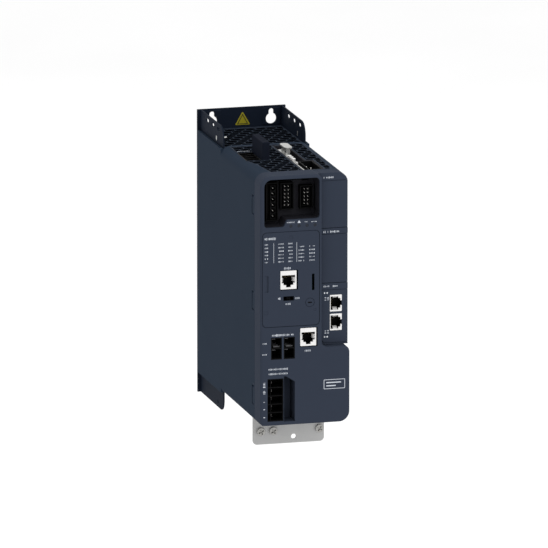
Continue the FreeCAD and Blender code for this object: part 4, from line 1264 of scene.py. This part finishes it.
@dataclass
class Print(Assembly):
    """Generic printed strokes where the front and top carry legends."""

    def row(self, front: float, *table: tuple) -> list[Legend]:
        """Makes legends on one front face.

        Args:
            front: Y of the face.
            table: Seed, x, z, width, height and gaps of each, and its lines and pitch if several.

        Returns:
            The legends.
        """
        return [Legend((x, front, z), width, height, *lines, seed=seed, gaps=gaps)
                for seed, x, z, width, height, gaps, *lines in table]

    def upright(self, front: float, seed: int, height: float, table: Sequence[Triple]) -> list[Legend]:
        """Makes legends (x, z, width) that read upwards, with seeds from the one given."""
        return [Legend((x, front, z), width, height, seed=seed + i, run=Run.UP_FRONT, gaps=0.0)
                for i, (x, z, width) in enumerate(table)]

    def detail(self) -> None:
        """Prints every face."""
        cover, door, bezel = Span.of("front_cover"), Span.of("panel_door"), Span.of("option_bezel")
        f, left, base = cover.front, cover.low.x, cover.low.z
        self.ink("printed_front", "root", self.row(
            f, (3, -17.3, 210.6, 8.4, 1.1, 0.12), (5, -0.6, 210.4, 4.0, 1.0, 0.12),
            (6, 6.0, 210.2, 5.6, 1.0, 0.12), (7, -31.4, 105.2, 20.8, 2.0, 0.08),
            (8, -0.4, 89.2, 6.6, 1.8, 0.0), (9, -34.6, 73.3, 19.8, 1.8, 0.08, 2, 4.3),
            (10, left + 2.0, 97.9, 4.6, 1.3, 0.0), (11, left + 2.0, 87.6, 5.6, 1.3, 0.0))
            + self.upright(f, 12, 2.0, [(left + 3.4, z, long) for z, long in (
                (57.0, 6.2), (50.6, 4.2), (42.9, 2.4), (35.9, 2.2), (28.4, 2.2))]))
        d, edge = door.front, door.low.x + 2.4
        self.ink("printed_panel", "panel_door", self.row(
            d, (21, edge, 196.1, 13.6, 2.4, 0.1), (22, edge, 190.8, 4.2, 1.35, 0.1, 6, 3.32),
            (23, -25.6, 190.8, 6.6, 1.3, 0.12, 6, 3.32), (24, -16.1, 190.8, 4.6, 1.3, 0.08, 6, 3.32),
            (25, -6.2, 187.4, 5.8, 1.3, 0.1, 5, 3.3), (26, 3.9, 187.4, 5.8, 1.3, 0.15, 5, 3.3),
            (27, -20.0, 167.7, 6.8, 2.2, 0.0), (28, -25.6, 139.6, 3.6, 2.0, 0.0),
            (29, -9.6, 139.2, 6.0, 1.8, 0.05), (30, -18.4, 134.2, 5.0, 1.8, 0.0)))
        rules = Solid()
        for x, low, high in ((-30.1, 173.4, 192.0), (-8.3, 173.4, 191.8)):
            rules.block((x - 0.15, d - INK_RISE, low), (x + 0.15, d + INK_ROOT, high))
        self.place(rules.object("printed_rules"), PRINT_INK, "panel_door")
        self.ink("printed_column", "root", self.row(
            bezel.front, (41, 19.9, 248.6, 10.4, 1.7, 0.1), (42, 19.8, 197.6, 15.6, 1.9, 0.1),
            (43, 19.8, 146.4, 6.6, 1.5, 0.1), (44, 28.8, 146.3, 5.6, 1.7, 0.0)))
        self.ink("printed_module", "comm_module", self.upright(
            Span.of("comm_case").front, 51, 1.5,
            [(x, z, 4.4) for z in (133.4, 102.4) for x in (21.4, 23.9)]))
        mains, top = Span.of("mains_header"), Span.of("housing_left").high.z
        self.ink("printed_top", "root", [Legend((mains.low.x + 2.0, mains.high.y + 5.2, top), 13.2, 1.6,
                                                seed=61, run=Run.ACROSS_TOP, gaps=0.0)])
        self.plate(f, base)

    def ink(self, name: str, body: str, legends: Sequence[Legend]) -> None:
        """Prints several legends as one piece."""
        strokes = [legend.print(f"{name}_{i}") for i, legend in enumerate(legends)]
        self.place(joined(name, strokes), PRINT_INK, body)

    def plate(self, front: float, base: float) -> None:
        """Prints a plain ruled name field, blank apart from two strokes, and the small pointer."""
        low, high, line = (17.4, base + 32.0), (37.6, base + 41.0), 0.5
        inner = rounded_outline((low[0] + line, low[1] + line), (high[0] - line, high[1] - line), 0.3, 2)
        near, far = front - INK_RISE, front + INK_ROOT
        border = Solid().tube(rounded_outline(low, high, 0.6, 2), inner, (near, far), facing_front)
        start = low[0] + 2.4
        for z, long in ((base + 35.0, 9.0), (base + 38.0, 14.0)):
            border.block((start, near, z - 0.5), (start + long, far, z + 0.5))
        self.place(border.object("printed_name_field"), PRINT_INK, "root")
        mark = Solid().prism([(-7.6, 209.7), (-4.6, 209.7), (-6.1, 212.3)], (near, far), facing_front)
        self.place(mark.object("printed_pointer"), PRINT_INK, "root")


# ---------------------------------------------------------------- studio
@dataclass
class Studio:
    """Camera, pale floor and soft lights.

    Attributes:
        azimuth: Where the camera stands, in degrees from the front towards the right.
        elevation: Its height above the horizon, in degrees.
        distance: Its distance from the target.
        lens: Focal length.
        target: The point that it looks at.
        floor_half: Half the floor's side.
        drop: How far the floor lies below the object.
    """

    azimuth: float = -14.87
    elevation: float = 12.85
    distance: float = 11.10623
    lens: float = 788.3
    target: Triple = (0.00108, -0.116, 0.13562)
    floor_half: float = 9.0
    drop: float = 0.35

    def camera(self) -> None:
        """Makes the camera."""
        turn, rise = math.radians(self.azimuth), math.radians(self.elevation)
        flat = math.cos(rise)
        back = Vector((math.sin(turn) * flat, -math.cos(turn) * flat, math.sin(rise)))
        data = bpy.data.cameras.new("camera")
        data.lens, data.sensor_width, data.clip_end = self.lens, 36.0, 100.0
        camera = bpy.data.objects.new("camera", data)
        camera.location = Vector(self.target) + back * self.distance
        camera.rotation_euler = back.to_track_quat("Z", "Y").to_euler()
        bpy.context.scene.collection.objects.link(camera)
        bpy.context.scene.camera = camera

    def floor(self) -> None:
        """Makes the pale floor, well below the object, which hangs on a wall."""
        height = cad_box[0].z - self.drop
        h = self.floor_half
        mesh = bpy.data.meshes.new("floor")
        corners = [(-h, -h, height), (h, -h, height), (h, h, height), (-h, h, height)]
        mesh.from_pydata(corners, [], [(0, 1, 2, 3)])
        # Matt white paper with faint fibres.
        material = bpy.data.materials.new("Matt_white_paper")
        material.use_nodes = True
        tree = material.node_tree
        shader = tree.nodes["Principled BSDF"]
        shader.inputs["Roughness"].default_value = 0.9
        shader.inputs["Specular IOR Level"].default_value = 0.1
        coords = add_node(tree, "ShaderNodeTexCoord").outputs["Object"]
        fibres = add_node(tree, "ShaderNodeTexNoise", {"Scale": 3.0, "Detail": 2.0}, {"Vector": coords})
        paper = blend(tree, fibres.outputs["Fac"], "f4f4f4", "fafafa")
        tree.links.new(paper, shader.inputs["Base Color"])
        mesh.materials.append(material)
        linked("floor", mesh)

    def light(self, name: str, place: Triple, size: float, power: float) -> None:
        """Makes one square soft light aimed at the object."""
        data = bpy.data.lights.new(name, "AREA")
        data.shape, data.size, data.energy = "SQUARE", size, power
        lamp = bpy.data.objects.new(name, data)
        lamp.location = place
        lamp.rotation_euler = (Vector(place) - Vector(self.target)).to_track_quat("Z", "Y").to_euler()
        bpy.context.scene.collection.objects.link(lamp)

    def build(self) -> None:
        """Makes the studio."""
        world = bpy.data.worlds.new("soft_white_room")
        world.use_nodes = True
        sky = world.node_tree.nodes["Background"]
        sky.inputs["Color"].default_value = linear("ffffff")
        sky.inputs["Strength"].default_value = 1.0
        bpy.context.scene.world = world
        bpy.context.scene.view_settings.view_transform = "Standard"
        self.camera()
        self.floor()
        self.light("overhead_softbox", (0.3, -0.4, 3.0), 2.5, 24.0)
        self.light("front_softbox", (0.9, -3.0, 1.8), 2.0, 24.0)


def main() -> None:
    """Builds the studio and every sub-assembly."""
    logging.basicConfig(level=logging.INFO, format="%(name)s: %(message)s")
    Studio().build()
    for assembly in (Chassis(), Housing(), ControlPanel(), ModularJack("hmi_jack"),
                     ModularJack("can_jack"), OptionColumn(), SignalTerminals(), PowerTerminals(),
                     ShieldPlate(), ShieldClamp(), Cooling(), Electronics(), Print()):
        log.info("building %s", type(assembly).__name__)
        assembly.build()


if __name__ == "__main__":
    main()
